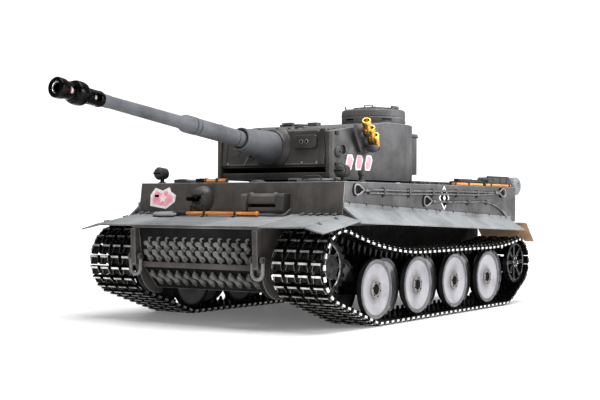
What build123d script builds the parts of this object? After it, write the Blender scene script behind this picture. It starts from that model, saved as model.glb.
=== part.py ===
from build123d import *
import math
import os

# Radio-controlled model tank at one sixteenth of full size, in millimetres.
# While it is built, x = 0 is the first road-wheel axle, +X is forward, +Y is the
# tank's left and z = 0 is the ground. At the end everything is moved so that the
# origin is the bottom centre of the whole model's box.

# ---------------------------------------------------------------- driving sizes
# running gear
axle_count = 8                 # swing arms and wheel sets on each side
axle_pitch = 32.4
wheel_radius = 22.6
wheel_centre_z = 27.6
wheel_width = 4.6
arm_reach = 20.0               # pivot to axle, along the hull
arm_drop = 10.2                # pivot to axle, downwards
arm_lift_limit = 3.0           # degrees that a wheel may rise under the standing track
stub_radius = 2.0
pivot_radius = 2.5
running_gap = 0.05             # radial clearance of every shaft in its bore
safe_gap = 0.4                 # room between pieces that move past each other

# track
track_centre_y = 88.65
track_width = 45.4
link_count = 95
link_length = 6.9
link_inner = 1.8               # from the pins' line to the face the wheels run on
link_outer = 2.7               # from the pins' line to the ground face
top_run_rest_z = 53.5          # the pins' line where the top run hangs lowest
sprocket_x = 52.9
sprocket_z = 46.2
sprocket_pitch_radius = 25.8
sprocket_teeth = 20
idler_radius = 18.7
idler_x = -254.2
idler_z = 38.3

# hull
hull_half_width = 98.5
tub_half_width = 60.0
wall = 2.5
belly_z = 26.0
sponson_floor_z = 80.0
side_plate_bottom_z = 75.5
roof_z = 107.9
nose_top_x = 84.0
nose_top_z = 74.5
nose_break_x = 80.0
nose_break_z = 46.0
nose_bottom_x = 62.0
front_plate_foot_x = 36.0
front_plate_foot_z = 83.4
front_plate_top_x = 32.6
rear_plate_x = -272.0
fender_overhang = 15.5          # how far the skirts stand out from the hull side
fender_outer_y = hull_half_width + fender_overhang
fender_sheet = 1.2
skirt_top_z_front = 92.5
skirt_top_z_rear = 80.0
skirt_lip_z_front = 78.5
skirt_lip_z_rear = 68.3
skirt_panels = 4
rear_guard_drop = 17.5         # the rear mudguard slopes down by this at 45 degrees
crew_hatch_x = 9.0
crew_hatch_y = 62.0
crew_hatch_radius = 13.5
lid_thickness = 1.8
deck_front_x = -186.0
deck_rear_x = -260.0
deck_half_width = 76.0
deck_plate = 1.4

# turret
turret_x = -105.0
turret_ring_radius = 55.0
turret_radius = 69.0
turret_front_x = -15.0
turret_front_half_width = 55.0
turret_bottom_z = 111.0
turret_roof_z = 159.0
turret_brow_z = 149.0          # roof height at the turret's front edge
turret_roof_bend_x = -82.0
turret_wall = 3.2
cupola_x = -119.5
cupola_y = 32.5
cupola_radius = 27.5
cupola_height = 13.5
cupola_hatch_radius = 18.0
loader_hatch_x = -100.0
loader_hatch_y = -32.0
loader_hatch_length = 30.0
loader_hatch_width = 24.0
bin_rear_x = -195.0
bin_half_width = 38.0
bin_bottom_z = 118.5
bin_top_z = 155.5

# gun
trunnion_x = -30.0
trunnion_z = 134.65
gun_rest_elevation = 6.9       # degrees
mantlet_half_height = 15.5
mantlet_front = 16.0
mantlet_half_width = 50.6
trunnion_radius = 4.0
sleeve_length = 60.0           # trunnion to the sleeve's mouth
sleeve_mouth_radius = 8.8
sleeve_root_radius = 13.0
barrel_thick_radius = 6.4
barrel_thin_radius = 4.6
barrel_muzzle_radius = 4.2
barrel_step_s = 122.0          # trunnion to the step in the barrel
brake_start_s = 215.0
muzzle_s = 257.0
brake_radius = 6.9
bore_radius = 2.75
recoil_travel = 12.0

# ---------------------------------------------------------------- sizes worked out from those
arm_shaft_end_y = tub_half_width - wall - 5.0
crew_hinge_y = crew_hatch_y + crew_hatch_radius + 2.6
crew_hinge_z = roof_z + 2.0
lug_thickness = 4.6
lug_hole_x = 84.5
lug_hole_z = 51.0
lug_hole_radius = 2.2
rear_eye_y = 46.0
rear_eye_radius = 2.0
rear_eye_thickness = 4.0
rear_eye_z = 52.0
bow_gun_x = front_plate_foot_x - 2.4
bow_gun_y = -33.0
bow_gun_z = 94.2
bow_ball_radius = 7.6
bow_collar_radius = 11.0
bow_collar_depth = 7.5

# ---------------------------------------------------------------- helpers
def group(pieces):
    """Several separate solids in one node."""
    return Compound([solid for piece in pieces for solid in piece.solids()])


def block(x0, x1, y0, y1, z0, z1):
    """A box from its lowest to its highest corner."""
    size = Box(x1 - x0, y1 - y0, z1 - z0)
    return Pos((x0 + x1) / 2, (y0 + y1) / 2, (z0 + z1) / 2) * size


def side_prism(points, y0, y1):
    """A prism from an outline of (x, z) points, between two y values."""
    outline = Polyline(*[(x, 0, z) for x, z in points], close=True)
    return Pos(0, y1, 0) * extrude(make_face(outline), y1 - y0, dir=(0, -1, 0))


def plan_prism(points, z0, z1):
    """A prism from an outline of (x, y) points, between two heights."""
    outline = Polyline(*points, close=True)
    return Pos(0, 0, z0) * extrude(make_face(outline), z1 - z0, dir=(0, 0, 1))


def cross_rod(x, z, radius, y0, y1):
    """A round bar along Y."""
    return Pos(x, (y0 + y1) / 2, z) * Rot(90, 0, 0) * Cylinder(radius, abs(y1 - y0))


def long_rod(y, z, radius, x0, x1):
    """A round bar along X."""
    return Pos((x0 + x1) / 2, y, z) * Rot(0, 90, 0) * Cylinder(radius, abs(x1 - x0))


def upright(x, y, radius, z0, z1):
    """A round bar along Z."""
    return Pos(x, y, (z0 + z1) / 2) * Cylinder(radius, z1 - z0)


def turned(profile, axis=Axis.Y):
    """A turned solid from (radius, y) points, about the Y axis."""
    outline = Polyline(*[(r, y, 0) for r, y in profile], close=True)
    return revolve(make_face(outline), axis)


def mirrored(shape):
    """The same piece on the tank's other side."""
    return mirror(shape, Plane.XZ)


def line_between(x0, z0, x1, z1, x):
    """Height at x on the line through two side-view points."""
    return z0 + (z1 - z0) * (x - x0) / (x1 - x0)


# ---------------------------------------------------------------- running gear
layer_step = 12.1              # outermost disc to the next layer inwards
outer_layer_y = 106.9          # outer face of the outermost discs
layers = [
    outer_layer_y,
    outer_layer_y - layer_step,
    2 * track_centre_y - (outer_layer_y - layer_step - wheel_width),
    2 * track_centre_y - (outer_layer_y - wheel_width),
]
bottom_run_z = link_outer
axle_xs = [-axle_pitch * i for i in range(axle_count)]
arm_web_y0 = tub_half_width + 3.2
arm_web_y1 = arm_web_y0 + 3.2
hub_inner_y = arm_web_y1 + safe_gap
hub_radius = 5.2
cap_thickness = 2.0


def disc(outer_y):
    """One dished road-wheel disc with its tyre, pressed on the hub, its outer face at outer_y."""
    w = wheel_width
    rim = wheel_radius - 3.0
    profile = [
        (hub_radius, outer_y - 0.2), (hub_radius + 1.6, outer_y - 0.2), (hub_radius + 2.4, outer_y - 0.9),
        (rim - 1.0, outer_y - 2.4), (rim, outer_y - 0.3), (wheel_radius - 0.5, outer_y),
        (wheel_radius, outer_y - 0.5), (wheel_radius, outer_y - w + 0.5),
        (wheel_radius - 0.5, outer_y - w), (rim, outer_y - w + 0.3), (rim - 1.0, outer_y - w + 0.6),
        (hub_radius + 2.4, outer_y - w + 1.2), (hub_radius, outer_y - w + 1.2),
    ]
    return turned(profile)


def wheel_set(number):
    """Two discs on one hub: the odd axles carry the outer and inner layers."""
    odd = number % 2 == 1
    faces = [layers[0], layers[3]] if odd else [layers[1], layers[2]]
    tube_end = faces[0] - 0.4
    stub_room = cross_rod(0, 0, stub_radius + running_gap, hub_inner_y - 1, tube_end - cap_thickness)
    hub = cross_rod(0, 0, hub_radius, hub_inner_y, tube_end) - stub_room
    return group([hub] + [disc(face_y) for face_y in faces])


def swing_arm(number):
    """Pivot shaft, web and axle stub of one sprung arm, about the axle's centre."""
    odd = number % 2 == 1
    stub_end = (layers[0] if odd else layers[1]) - 0.4 - cap_thickness - safe_gap
    pivot_x, pivot_z = arm_reach, arm_drop
    length = math.hypot(pivot_x, pivot_z)
    lean = math.degrees(math.atan2(pivot_z, pivot_x))
    bar = Box(length, arm_web_y1 - arm_web_y0, 4.6)
    web = Pos(pivot_x / 2, (arm_web_y0 + arm_web_y1) / 2, pivot_z / 2) * Rot(0, -lean, 0) * bar
    web = web + cross_rod(0, 0, 4.0, arm_web_y0, arm_web_y1)
    web = web + cross_rod(pivot_x, pivot_z, 4.4, arm_web_y0, arm_web_y1)
    web = web + cross_rod(0, 0, stub_radius, arm_web_y1 - 0.5, stub_end)
    return web + cross_rod(pivot_x, pivot_z, pivot_radius, arm_shaft_end_y, arm_web_y0 + 0.5)


def tangent_points(x0, z0, r0, x1, z1, r1):
    """Where the lower outer tangent of two circles touches each of them."""
    span = math.hypot(x1 - x0, z1 - z0)
    along = math.atan2(z1 - z0, x1 - x0)
    side = along - math.pi / 2 - math.asin((r1 - r0) / span)
    if x1 < x0:
        side = along + math.pi / 2 + math.asin((r1 - r0) / span)
    dx, dz = math.cos(side), math.sin(side)
    return (x0 + r0 * dx, z0 + r0 * dz), (x1 + r1 * dx, z1 + r1 * dz)


def track_path():
    """The closed line of the track's pins, in the side view."""
    wheel_r = wheel_centre_z - bottom_run_z
    last_x = axle_xs[-1]
    idler_r = idler_radius + link_inner + safe_gap
    front_lean = math.radians(17.0)
    rear_lean = math.radians(10.0)
    leave_front = (sprocket_x - sprocket_pitch_radius * math.sin(front_lean),
                   sprocket_z + sprocket_pitch_radius * math.cos(front_lean))
    leave_rear = (idler_x + idler_r * math.sin(rear_lean), idler_z + idler_r * math.cos(rear_lean))
    front_knee = leave_front[0] - (leave_front[1] - top_run_rest_z) / math.tan(front_lean)
    front_foot = 2 * front_knee - leave_front[0]
    rear_knee = leave_rear[0] + (leave_rear[1] - top_run_rest_z) / math.tan(rear_lean)
    rear_foot = 2 * rear_knee - leave_rear[0]
    a0, a1 = tangent_points(sprocket_x, sprocket_z, sprocket_pitch_radius, 0, wheel_centre_z, wheel_r)
    b0, b1 = tangent_points(last_x, wheel_centre_z, wheel_r, idler_x, idler_z, idler_r)
    lift = math.atan2(a0[1] - a1[1], a0[0] - a1[0]) / 2
    first_mid = (wheel_r * math.sin(lift), wheel_centre_z - wheel_r * math.cos(lift))
    drop = math.atan2(b1[1] - b0[1], b0[0] - b1[0]) / 2
    last_mid = (last_x - wheel_r * math.sin(drop), wheel_centre_z - wheel_r * math.cos(drop))

    def flat(point):
        return (point[0], 0, point[1])

    edges = [
        ThreePointArc(flat(leave_front), (sprocket_x + sprocket_pitch_radius, 0, sprocket_z), flat(a0)),
        Line(flat(a0), flat(a1)),
        ThreePointArc(flat(a1), flat(first_mid), (0, 0, bottom_run_z)),
        Line((0, 0, bottom_run_z), (last_x, 0, bottom_run_z)),
        ThreePointArc((last_x, 0, bottom_run_z), flat(last_mid), flat(b0)),
        Line(flat(b0), flat(b1)),
        ThreePointArc(flat(b1), (idler_x - idler_r, 0, idler_z), flat(leave_rear)),
        Bezier(flat(leave_rear), (rear_knee, 0, top_run_rest_z), (rear_foot, 0, top_run_rest_z)),
        Line((rear_foot, 0, top_run_rest_z), (front_foot, 0, top_run_rest_z)),
        Bezier((front_foot, 0, top_run_rest_z), (front_knee, 0, top_run_rest_z), flat(leave_front)),
    ]
    return Wire([piece.edges()[0] for piece in edges])


path = track_path()
link_pitch = path.length / link_count


def track_link_places():
    """Centre and lie of each link, with one link square under the first axle."""
    places = []
    under_first_axle = path.param_at_point((0, 0, bottom_run_z))
    for i in range(link_count):
        share = (under_first_axle + i / link_count) % 1.0
        at = path.position_at(share)
        way = path.tangent_at(share)
        places.append((at.X, at.Z, math.degrees(math.atan2(way.Z, way.X))))
    return places


link_places = track_link_places()


def track(centre_y):
    """All the links of one track, each a plate of its own on the pins' line."""
    thick = link_inner + link_outer
    plate = Pos(0, 0, (link_outer - link_inner) / 2) * Box(link_length, track_width, thick)
    ground_edges = plate.edges().filter_by(Axis.Y).sort_by(Axis.Z)[-2:]
    plate = chamfer(ground_edges, 1.0)
    links = [Pos(x, centre_y, z) * Rot(0, -turn, 0) * plate for x, z, turn in link_places]
    return group(links)


sprocket_root_radius = sprocket_pitch_radius - link_inner - 3.4
sprocket_tip_radius = sprocket_pitch_radius - link_inner - safe_gap
ring_outer_y = 97.0
ring_inner_y = 2 * track_centre_y - ring_outer_y
ring_thickness = 3.0
final_drive_y = tub_half_width + 6.0
sprocket_shaft_radius = 4.0
sprocket_hub_outer_y = ring_outer_y + 3.0


def toothed_ring(y0, y1):
    """One drive ring with its teeth."""
    points = []
    for i in range(sprocket_teeth):
        centre = 360.0 * i / sprocket_teeth
        flank = 360.0 / sprocket_teeth
        for offset, radius in ((-0.36, 0), (-0.16, 1), (0.16, 1), (0.36, 0)):
            angle = math.radians(centre + offset * flank)
            r = sprocket_tip_radius if radius else sprocket_root_radius
            points.append((r * math.cos(angle), r * math.sin(angle)))
    ring = side_prism(points, y0, y1)
    return ring - cross_rod(0, 0, sprocket_root_radius - 4.0, y0 - 1, y1 + 1)


def sprocket():
    """Two toothed rings on a spoked drum, about the wheel's own centre."""
    solid = cross_rod(0, 0, 9.0, final_drive_y + safe_gap, sprocket_hub_outer_y)
    for outer in (ring_outer_y, ring_inner_y + ring_thickness):
        solid = solid + toothed_ring(outer - ring_thickness, outer)
        for i in range(10):
            spoke = Pos(12.5, outer - ring_thickness / 2, 0) * Box(12.0, ring_thickness - 0.6, 2.6)
            solid = solid + Rot(0, 36.0 * i, 0) * spoke
    drum = cross_rod(0, 0, 18.5, ring_inner_y + 0.5, ring_outer_y - 0.5)
    drum = drum - cross_rod(0, 0, 16.5, ring_inner_y, ring_outer_y)
    solid = solid + drum
    room = cross_rod(0, 0, sprocket_shaft_radius + running_gap, final_drive_y - 1, sprocket_hub_outer_y - 2.5)
    return solid - room


idler_shaft_radius = 2.5
idler_hub_radius = 4.8
idler_spokes = 8


def idler():
    """The rear guide wheel: two spoked rims pressed on one hub."""
    faces = [layers[0], layers[3]]
    hub_end = faces[0] - 0.6
    bearing = cross_rod(0, 0, idler_shaft_radius + running_gap, hub_inner_y - 1, hub_end - cap_thickness)
    pieces = [cross_rod(0, 0, idler_hub_radius, hub_inner_y, hub_end) - bearing]
    for face_y in faces:
        rim = cross_rod(0, 0, idler_radius, face_y - wheel_width, face_y)
        rim = rim - cross_rod(0, 0, idler_radius - 2.6, face_y - wheel_width - 1, face_y + 1)
        for i in range(idler_spokes):
            spoke = Pos(10.5, face_y - wheel_width / 2, 0) * Box(13.5, 1.8, 3.0)
            rim = rim + Rot(0, 360.0 / idler_spokes * i, 0) * spoke
        pieces.append(rim - cross_rod(0, 0, idler_hub_radius, face_y - wheel_width - 1, face_y + 1))
    return group(pieces)


# ---------------------------------------------------------------- lower hull
glacis_front_x = nose_top_x + 3.0
glacis_front_z = nose_top_z + 0.8
glacis_plate = 2.4


def glacis_top_z(x):
    """Height of the sloping front deck at x."""
    return line_between(front_plate_foot_x, front_plate_foot_z, glacis_front_x, glacis_front_z, x)


def glacis_under_z(x):
    """Height of the sloping front deck's underside at x."""
    return glacis_top_z(x) - glacis_plate


def lower_hull():
    """The welded tub with its arm bearings, final drives and tow lugs."""
    profile = [
        (nose_top_x, glacis_under_z(nose_top_x)), (nose_break_x, nose_break_z), (nose_bottom_x, belly_z),
        (rear_plate_x + 14, belly_z), (rear_plate_x, belly_z + 16), (rear_plate_x, sponson_floor_z),
        (front_plate_foot_x - 1, sponson_floor_z), (front_plate_foot_x - 1, glacis_under_z(front_plate_foot_x - 1)),
    ]
    inner = [
        (nose_top_x - 6, sponson_floor_z + 5), (nose_break_x - wall - 1, nose_break_z),
        (nose_bottom_x - wall, belly_z + wall), (rear_plate_x + 14 + wall, belly_z + wall),
        (rear_plate_x + wall, belly_z + 16 + wall), (rear_plate_x + wall, sponson_floor_z + 5),
    ]
    half = tub_half_width
    tub = side_prism(profile, -half, half) - side_prism(inner, wall - half, half - wall)
    boss_end = arm_web_y0 - safe_gap
    outside = []
    for side in (1, -1):
        for x in axle_xs:
            pivot = (x + arm_reach, wheel_centre_z + arm_drop)
            boss = cross_rod(pivot[0], pivot[1], 4.4, side * (half - wall - 4.0), side * boss_end)
            tub = tub + boss
        # final drive housing and shaft, and the idler's carrier and axle
        reach = final_drive_y - half
        housing = turned([(sprocket_shaft_radius, 0), (17.0, 0), (13.0, reach), (sprocket_shaft_radius, reach)])
        housing = Pos(sprocket_x, half, sprocket_z) * housing
        shaft = cross_rod(sprocket_x, sprocket_z, sprocket_shaft_radius, half, sprocket_hub_outer_y - 3.0)
        idler_end = layers[0] - 0.6 - cap_thickness - safe_gap
        axle = cross_rod(idler_x, idler_z, idler_shaft_radius, half, idler_end)
        carrier = cross_rod(idler_x, idler_z, 7.5, half, hub_inner_y - safe_gap) - axle
        for piece in (housing, shaft, carrier, axle):
            outside.append(piece if side == 1 else mirrored(piece))
        lug = Pos(0, half - lug_thickness / 2, 0) * tow_lug()
        rear_eye = Pos(0, rear_eye_y, 0) * rear_eye_plate()
        for piece in (lug, rear_eye):
            tub = tub + (piece if side == 1 else mirrored(piece))
    for side in (1, -1):
        for x in axle_xs:
            pivot = (x + arm_reach, wheel_centre_z + arm_drop)
            hole = cross_rod(pivot[0], pivot[1], pivot_radius + running_gap,
                             side * (arm_shaft_end_y - 1), side * (boss_end + 1))
            tub = tub - hole
    return group([tub] + outside)


def tow_lug():
    """The side plate's forward end, curved under, drilled for the tow shackle."""
    outline = Polyline((nose_bottom_x - 6, 0, belly_z), (nose_top_x - 6, 0, nose_top_z - 2.2),
                       (nose_top_x + 4.5, 0, nose_top_z - 2.2), (nose_top_x + 3.5, 0, lug_hole_z - 6),
                       (nose_top_x - 2.0, 0, lug_hole_z - 8.5))
    sweep_under = ThreePointArc((nose_top_x - 2.0, 0, lug_hole_z - 8.5), (nose_top_x - 6, 0, 30.5),
                                (nose_bottom_x - 6, 0, belly_z - 4.0))
    back = Line((nose_bottom_x - 6, 0, belly_z - 4.0), (nose_bottom_x - 6, 0, belly_z))
    face = make_face([outline, sweep_under, back])
    plate = Pos(0, lug_thickness / 2, 0) * extrude(face, lug_thickness, dir=(0, -1, 0))
    return plate - cross_rod(lug_hole_x, lug_hole_z, lug_hole_radius, -lug_thickness, lug_thickness)


def rear_eye_plate():
    """A towing eye on the rear plate."""
    plate = block(rear_plate_x - 8, rear_plate_x + 1, -rear_eye_thickness / 2, rear_eye_thickness / 2,
                  rear_eye_z - 5, rear_eye_z + 5)
    hole = cross_rod(rear_plate_x - 4, rear_eye_z, rear_eye_radius, -rear_eye_thickness, rear_eye_thickness)
    return plate - hole


# ---------------------------------------------------------------- upper hull
def upper_hull():
    """Superstructure: front plate, sides, roof, sponson floors and glacis."""
    outer = [
        (front_plate_foot_x, sponson_floor_z), (front_plate_foot_x, front_plate_foot_z),
        (front_plate_top_x, roof_z), (rear_plate_x, roof_z), (rear_plate_x, sponson_floor_z),
    ]
    inner = [
        (front_plate_foot_x - wall - 0.2, sponson_floor_z + wall), (front_plate_top_x - wall - 0.2, roof_z - wall),
        (rear_plate_x + wall, roof_z - wall), (rear_plate_x + wall, sponson_floor_z + wall),
    ]
    half = hull_half_width
    body = side_prism(outer, -half, half) - side_prism(inner, wall - half, half - wall)
    well = tub_half_width - wall
    body = body - block(rear_plate_x + wall, front_plate_foot_x - wall, -well, well,
                        sponson_floor_z - 1, sponson_floor_z + wall + 1)
    for side in (1, -1):
        y0, y1 = sorted((side * (half - wall), side * half))
        body = body + block(rear_plate_x, front_plate_foot_x - 1.5, y0, y1, side_plate_bottom_z, sponson_floor_z + 1)
        hole = upright(crew_hatch_x, side * crew_hatch_y, crew_hatch_radius - 2.0, roof_z - wall - 1, roof_z + 1)
        body = body - hole
    body = body - upright(turret_x, 0, turret_ring_radius + safe_gap, roof_z - wall - 1, roof_z + 1)
    body = body - block(deck_rear_x, deck_front_x, -deck_half_width, deck_half_width, roof_z - wall - 1, roof_z + 1)
    back_x = front_plate_foot_x - 1
    glacis = side_prism([
        (back_x, glacis_top_z(back_x)), (glacis_front_x, glacis_front_z),
        (glacis_front_x, glacis_front_z - glacis_plate), (back_x, glacis_under_z(back_x)),
    ], -tub_half_width, tub_half_width)
    body = body + glacis
    # socket of the bow machine gun
    socket = Pos(bow_gun_x, bow_gun_y, bow_gun_z) * Sphere(bow_ball_radius + safe_gap)
    return body - socket


def bow_gun():
    """Ball and machine-gun barrel in the front plate's socket."""
    ball = Pos(bow_gun_x, bow_gun_y, bow_gun_z) * Sphere(bow_ball_radius)
    gun = long_rod(bow_gun_y, bow_gun_z + 0.8, 1.4, bow_gun_x, bow_gun_x + 19.0)
    jacket = long_rod(bow_gun_y, bow_gun_z + 0.8, 2.2, bow_gun_x, bow_gun_x + 12.0)
    return ball + gun + jacket


def bow_collar():
    """The fixed cast ring that the ball turns in."""
    lip = bow_collar_depth
    ring = gun_turned([(0.1, 0.0), (0.1, bow_collar_radius), (lip * 0.45, bow_collar_radius - 0.6),
                       (lip * 0.8, bow_collar_radius - 2.6), (lip, bow_collar_radius - 4.6), (lip, 0.0)])
    ring = Pos(front_plate_foot_x, bow_gun_y, bow_gun_z) * ring
    room = Pos(bow_gun_x, bow_gun_y, bow_gun_z) * Sphere(bow_ball_radius + safe_gap)
    mouth = block(bow_gun_x, front_plate_foot_x + lip + 2, bow_gun_y - 5.0, bow_gun_y + 5.0,
                  bow_gun_z - 4.6, bow_gun_z + 4.6)
    return ring - room - mouth


def engine_deck():
    """Plate over the engine room with its grilles and fan openings."""
    overlap = 3.0
    plate = block(deck_rear_x - overlap, deck_front_x + overlap, -deck_half_width - overlap,
                  deck_half_width + overlap, roof_z, roof_z + deck_plate)
    middle_x = (deck_front_x + deck_rear_x) / 2
    for side in (1, -1):
        fan = upright(middle_x - 12, side * 52.0, 13.0, roof_z - 1, roof_z + deck_plate + 1)
        plate = plate - fan
        for bar in range(5):
            x = middle_x + 8 + 4.6 * bar
            plate = plate - block(x, x + 2.6, side * 52.0 - 17, side * 52.0 + 17, roof_z - 1, roof_z + 5)
        for arm in range(4):
            cross = Box(28.0, 1.4, deck_plate)
            plate = plate + Pos(middle_x - 12, side * 52.0, roof_z + deck_plate / 2) * Rot(0, 0, 45 * arm) * cross
    lid = block(middle_x - 26, middle_x + 26, -22, 22, roof_z + deck_plate, roof_z + deck_plate + 1.0)
    return plate + lid


# ---------------------------------------------------------------- mudguards and skirts
def skirt_section(x):
    """Cross-section of a left side skirt at x: a flat top edge, then a flared lip."""
    top = line_between(front_plate_foot_x, skirt_top_z_front, rear_plate_x, skirt_top_z_rear, x)
    lip = line_between(front_plate_foot_x, skirt_lip_z_front, rear_plate_x, skirt_lip_z_rear, x)
    y0 = hull_half_width
    knee = top - 3.6
    points = [(x, y0, top), (x, y0 + fender_sheet, top), (x, y0 + fender_sheet, knee + 0.4),
              (x, fender_outer_y, lip), (x, fender_outer_y, lip - 1.2), (x, fender_outer_y - fender_sheet, lip - 1.2),
              (x, y0, knee - 0.8)]
    return make_face(Polyline(*points, close=True))


def mudguards():
    """Front mudguards with their hinged tips, side skirts and rear mudguards."""
    pieces = []
    rear_end_x = rear_plate_x + 13.0
    seam = 0.5
    panel = (front_plate_foot_x - rear_end_x) / skirt_panels
    for i in range(skirt_panels):
        x1 = front_plate_foot_x - panel * i - seam / 2
        x0 = front_plate_foot_x - panel * (i + 1) + seam / 2
        pieces.append(loft([skirt_section(x0), skirt_section(x1)], ruled=True))
    # front mudguard, level with the glacis, and its outer tip
    foot_x = front_plate_foot_x + 0.3
    front_x = glacis_front_x
    outline = [(foot_x, glacis_top_z(foot_x)), (front_x, glacis_front_z),
               (front_x, glacis_front_z - fender_sheet), (foot_x, glacis_top_z(foot_x) - fender_sheet)]
    pieces.append(side_prism(outline, tub_half_width + 0.1, hull_half_width - 0.4))
    run = Vector(front_x - foot_x - 1.0, 0, glacis_front_z - front_plate_foot_z)
    tip_section = make_face(Polyline(
        (foot_x, hull_half_width, front_plate_foot_z - fender_sheet),
        (foot_x, hull_half_width, front_plate_foot_z),
        (foot_x, fender_outer_y, skirt_lip_z_front + 1.0),
        (foot_x, fender_outer_y, skirt_lip_z_front - fender_sheet + 1.0), close=True))
    tip = extrude(tip_section, run.length, dir=run)
    pieces.append(tip)
    # rear mudguard: a sheet over the idler that bends down behind it
    top_z = side_plate_bottom_z - 0.6
    bend_x = rear_plate_x + 9.5
    tail_x, tail_z = bend_x - rear_guard_drop, top_z - rear_guard_drop
    sheet = [(rear_end_x - 0.5, top_z), (bend_x, top_z), (tail_x, tail_z),
             (tail_x + 0.85, tail_z - 0.85), (bend_x + 0.5, top_z - 1.2), (rear_end_x - 0.5, top_z - 1.2)]
    pieces.append(side_prism(sheet, tub_half_width + 2.0, fender_outer_y))
    return group([p for piece in pieces for p in (piece, mirrored(piece))])


# ---------------------------------------------------------------- hatches on the hull
def crew_hatch():
    """Round hatch lid with its hinge knuckle on the outer side, for the left."""
    lid_z = roof_z + 0.3
    lid = upright(crew_hatch_x, crew_hatch_y, crew_hatch_radius, lid_z, lid_z + lid_thickness)
    lid = lid + upright(crew_hatch_x, crew_hatch_y, crew_hatch_radius - 3.5, lid_z + 0.5, lid_z + lid_thickness + 0.7)
    arm = block(crew_hatch_x - 3.0, crew_hatch_x + 3.0, crew_hatch_y + crew_hatch_radius - 2,
                crew_hinge_y, lid_z, lid_z + lid_thickness)
    knuckle = long_rod(crew_hinge_y, crew_hinge_z, 1.5, crew_hatch_x - 3.0, crew_hatch_x + 3.0)
    return lid + arm + knuckle - long_rod(crew_hinge_y, crew_hinge_z, 0.75, crew_hatch_x - 4, crew_hatch_x + 4)


def hinge_pin(x0, x1, y, z, foot_z):
    """A fixed pin along X held by an ear at each end, standing on foot_z."""
    pin = long_rod(y, z, 0.7, x0 - 2.0, x1 + 2.0)
    for ear_x in (x0 - 2.0, x1 + 0.5):
        pin = pin + block(ear_x, ear_x + 1.5, y - 1.3, y + 1.3, foot_z, z + 1.3)
    return pin


# ---------------------------------------------------------------- fittings on the hull
headlight_x = 20.0
headlight_y = 88.2
headlight_z = 116.1
headlight_radius = 5.1


def headlight():
    """Drum headlamp with a slitted cover, on a stalk."""
    shell = long_rod(headlight_y, headlight_z, headlight_radius, headlight_x - 5, headlight_x + 3)
    r = headlight_radius
    cover = gun_turned([(0, 0.0), (0, r), (1.4, r * 0.92), (2.6, r * 0.7), (3.3, r * 0.35), (3.5, 0.0)])
    lamp = shell + Pos(headlight_x + 3, headlight_y, headlight_z) * cover
    slit = block(headlight_x + 5, headlight_x + 8, headlight_y - 3.4, headlight_y + 3.4,
                 headlight_z - 0.6, headlight_z + 0.6)
    return lamp - slit + upright(headlight_x - 1, headlight_y, 1.6, roof_z, headlight_z - 3)


def visor():
    """Driver's armoured vision block: a slotted cover between two cheeks."""
    foot = front_plate_foot_x + 0.1
    y0, y1 = 12.3, 51.5
    centre = (y0 + y1) / 2
    cheeks = [block(foot, foot + 8, y0, y0 + 5, 85, 99), block(foot, foot + 8, y1 - 5, y1, 83.5, 99)]
    cover = side_prism([(foot, 91.2), (foot + 6.5, 91.2), (foot + 5.5, 97), (foot + 3, 99.2), (foot, 99.2)], y0 + 5.2, y1 - 5.2)
    flap = side_prism([(foot, 84), (foot + 4, 84), (foot + 6, 88.7), (foot, 88.7)], y0 + 5.2, y1 - 5.2)
    back = block(foot, foot + 2.0, centre - 14, centre + 14, 88.7, 91.2)
    return [cheeks[0], cheeks[1], cover + back + flap]


def shackle():
    """U-shaped tow shackle hanging on its bolt through the left lug."""
    y = tub_half_width - lug_thickness / 2
    reach = lug_thickness / 2 + 2.4
    bolt = cross_rod(lug_hole_x, lug_hole_z, lug_hole_radius - 0.3, y - reach - 1.6, y + reach + 1.6)
    legs = bolt
    for s in (1, -1):
        legs = legs + upright(lug_hole_x, y + s * reach, 1.5, lug_hole_z - 9, lug_hole_z + 2)
    bend = Pos(lug_hole_x, y, lug_hole_z - 9) * Rot(0, 90, 0) * Torus(reach, 1.5)
    bend = bend - block(lug_hole_x - 5, lug_hole_x + 5, y - 10, y + 10, lug_hole_z - 9, lug_hole_z)
    return legs + bend


def spare_links():
    """Spare track links hung in rows on the nose plate, and the bar that holds them."""
    pieces = []
    count = 12
    span = 2 * (tub_half_width - lug_thickness) - 10.0
    step = span / count
    nose_lean = math.degrees(math.atan2(nose_top_x - nose_break_x, nose_top_z - nose_break_z))
    lower_lean = math.degrees(math.atan2(nose_break_x - nose_bottom_x, nose_break_z - belly_z))
    stand_off = 1.5
    for height, lean, foot in ((66.0, nose_lean, (nose_top_x, nose_top_z)), (54.5, nose_lean, (nose_top_x, nose_top_z)),
                               (34.5, lower_lean, (nose_bottom_x, belly_z))):
        face_x = line_between(nose_break_z, nose_break_x, foot[1], foot[0], height)
        out_x = math.cos(math.radians(lean)) * stand_off
        out_z = -math.sin(math.radians(lean)) * stand_off
        for i in range(count):
            y = -span / 2 + step * (i + 0.5)
            plate = Box(2.4, step - 2.2, 8.4)
            pieces.append(Pos(face_x + out_x, y, height + out_z) * Rot(0, lean, 0) * plate)
    bar = block(nose_break_x + 0.6, nose_break_x + 3.6, -span / 2 - 2, span / 2 + 2, nose_break_z - 3, nose_break_z + 1)
    return pieces + [bar]


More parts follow.
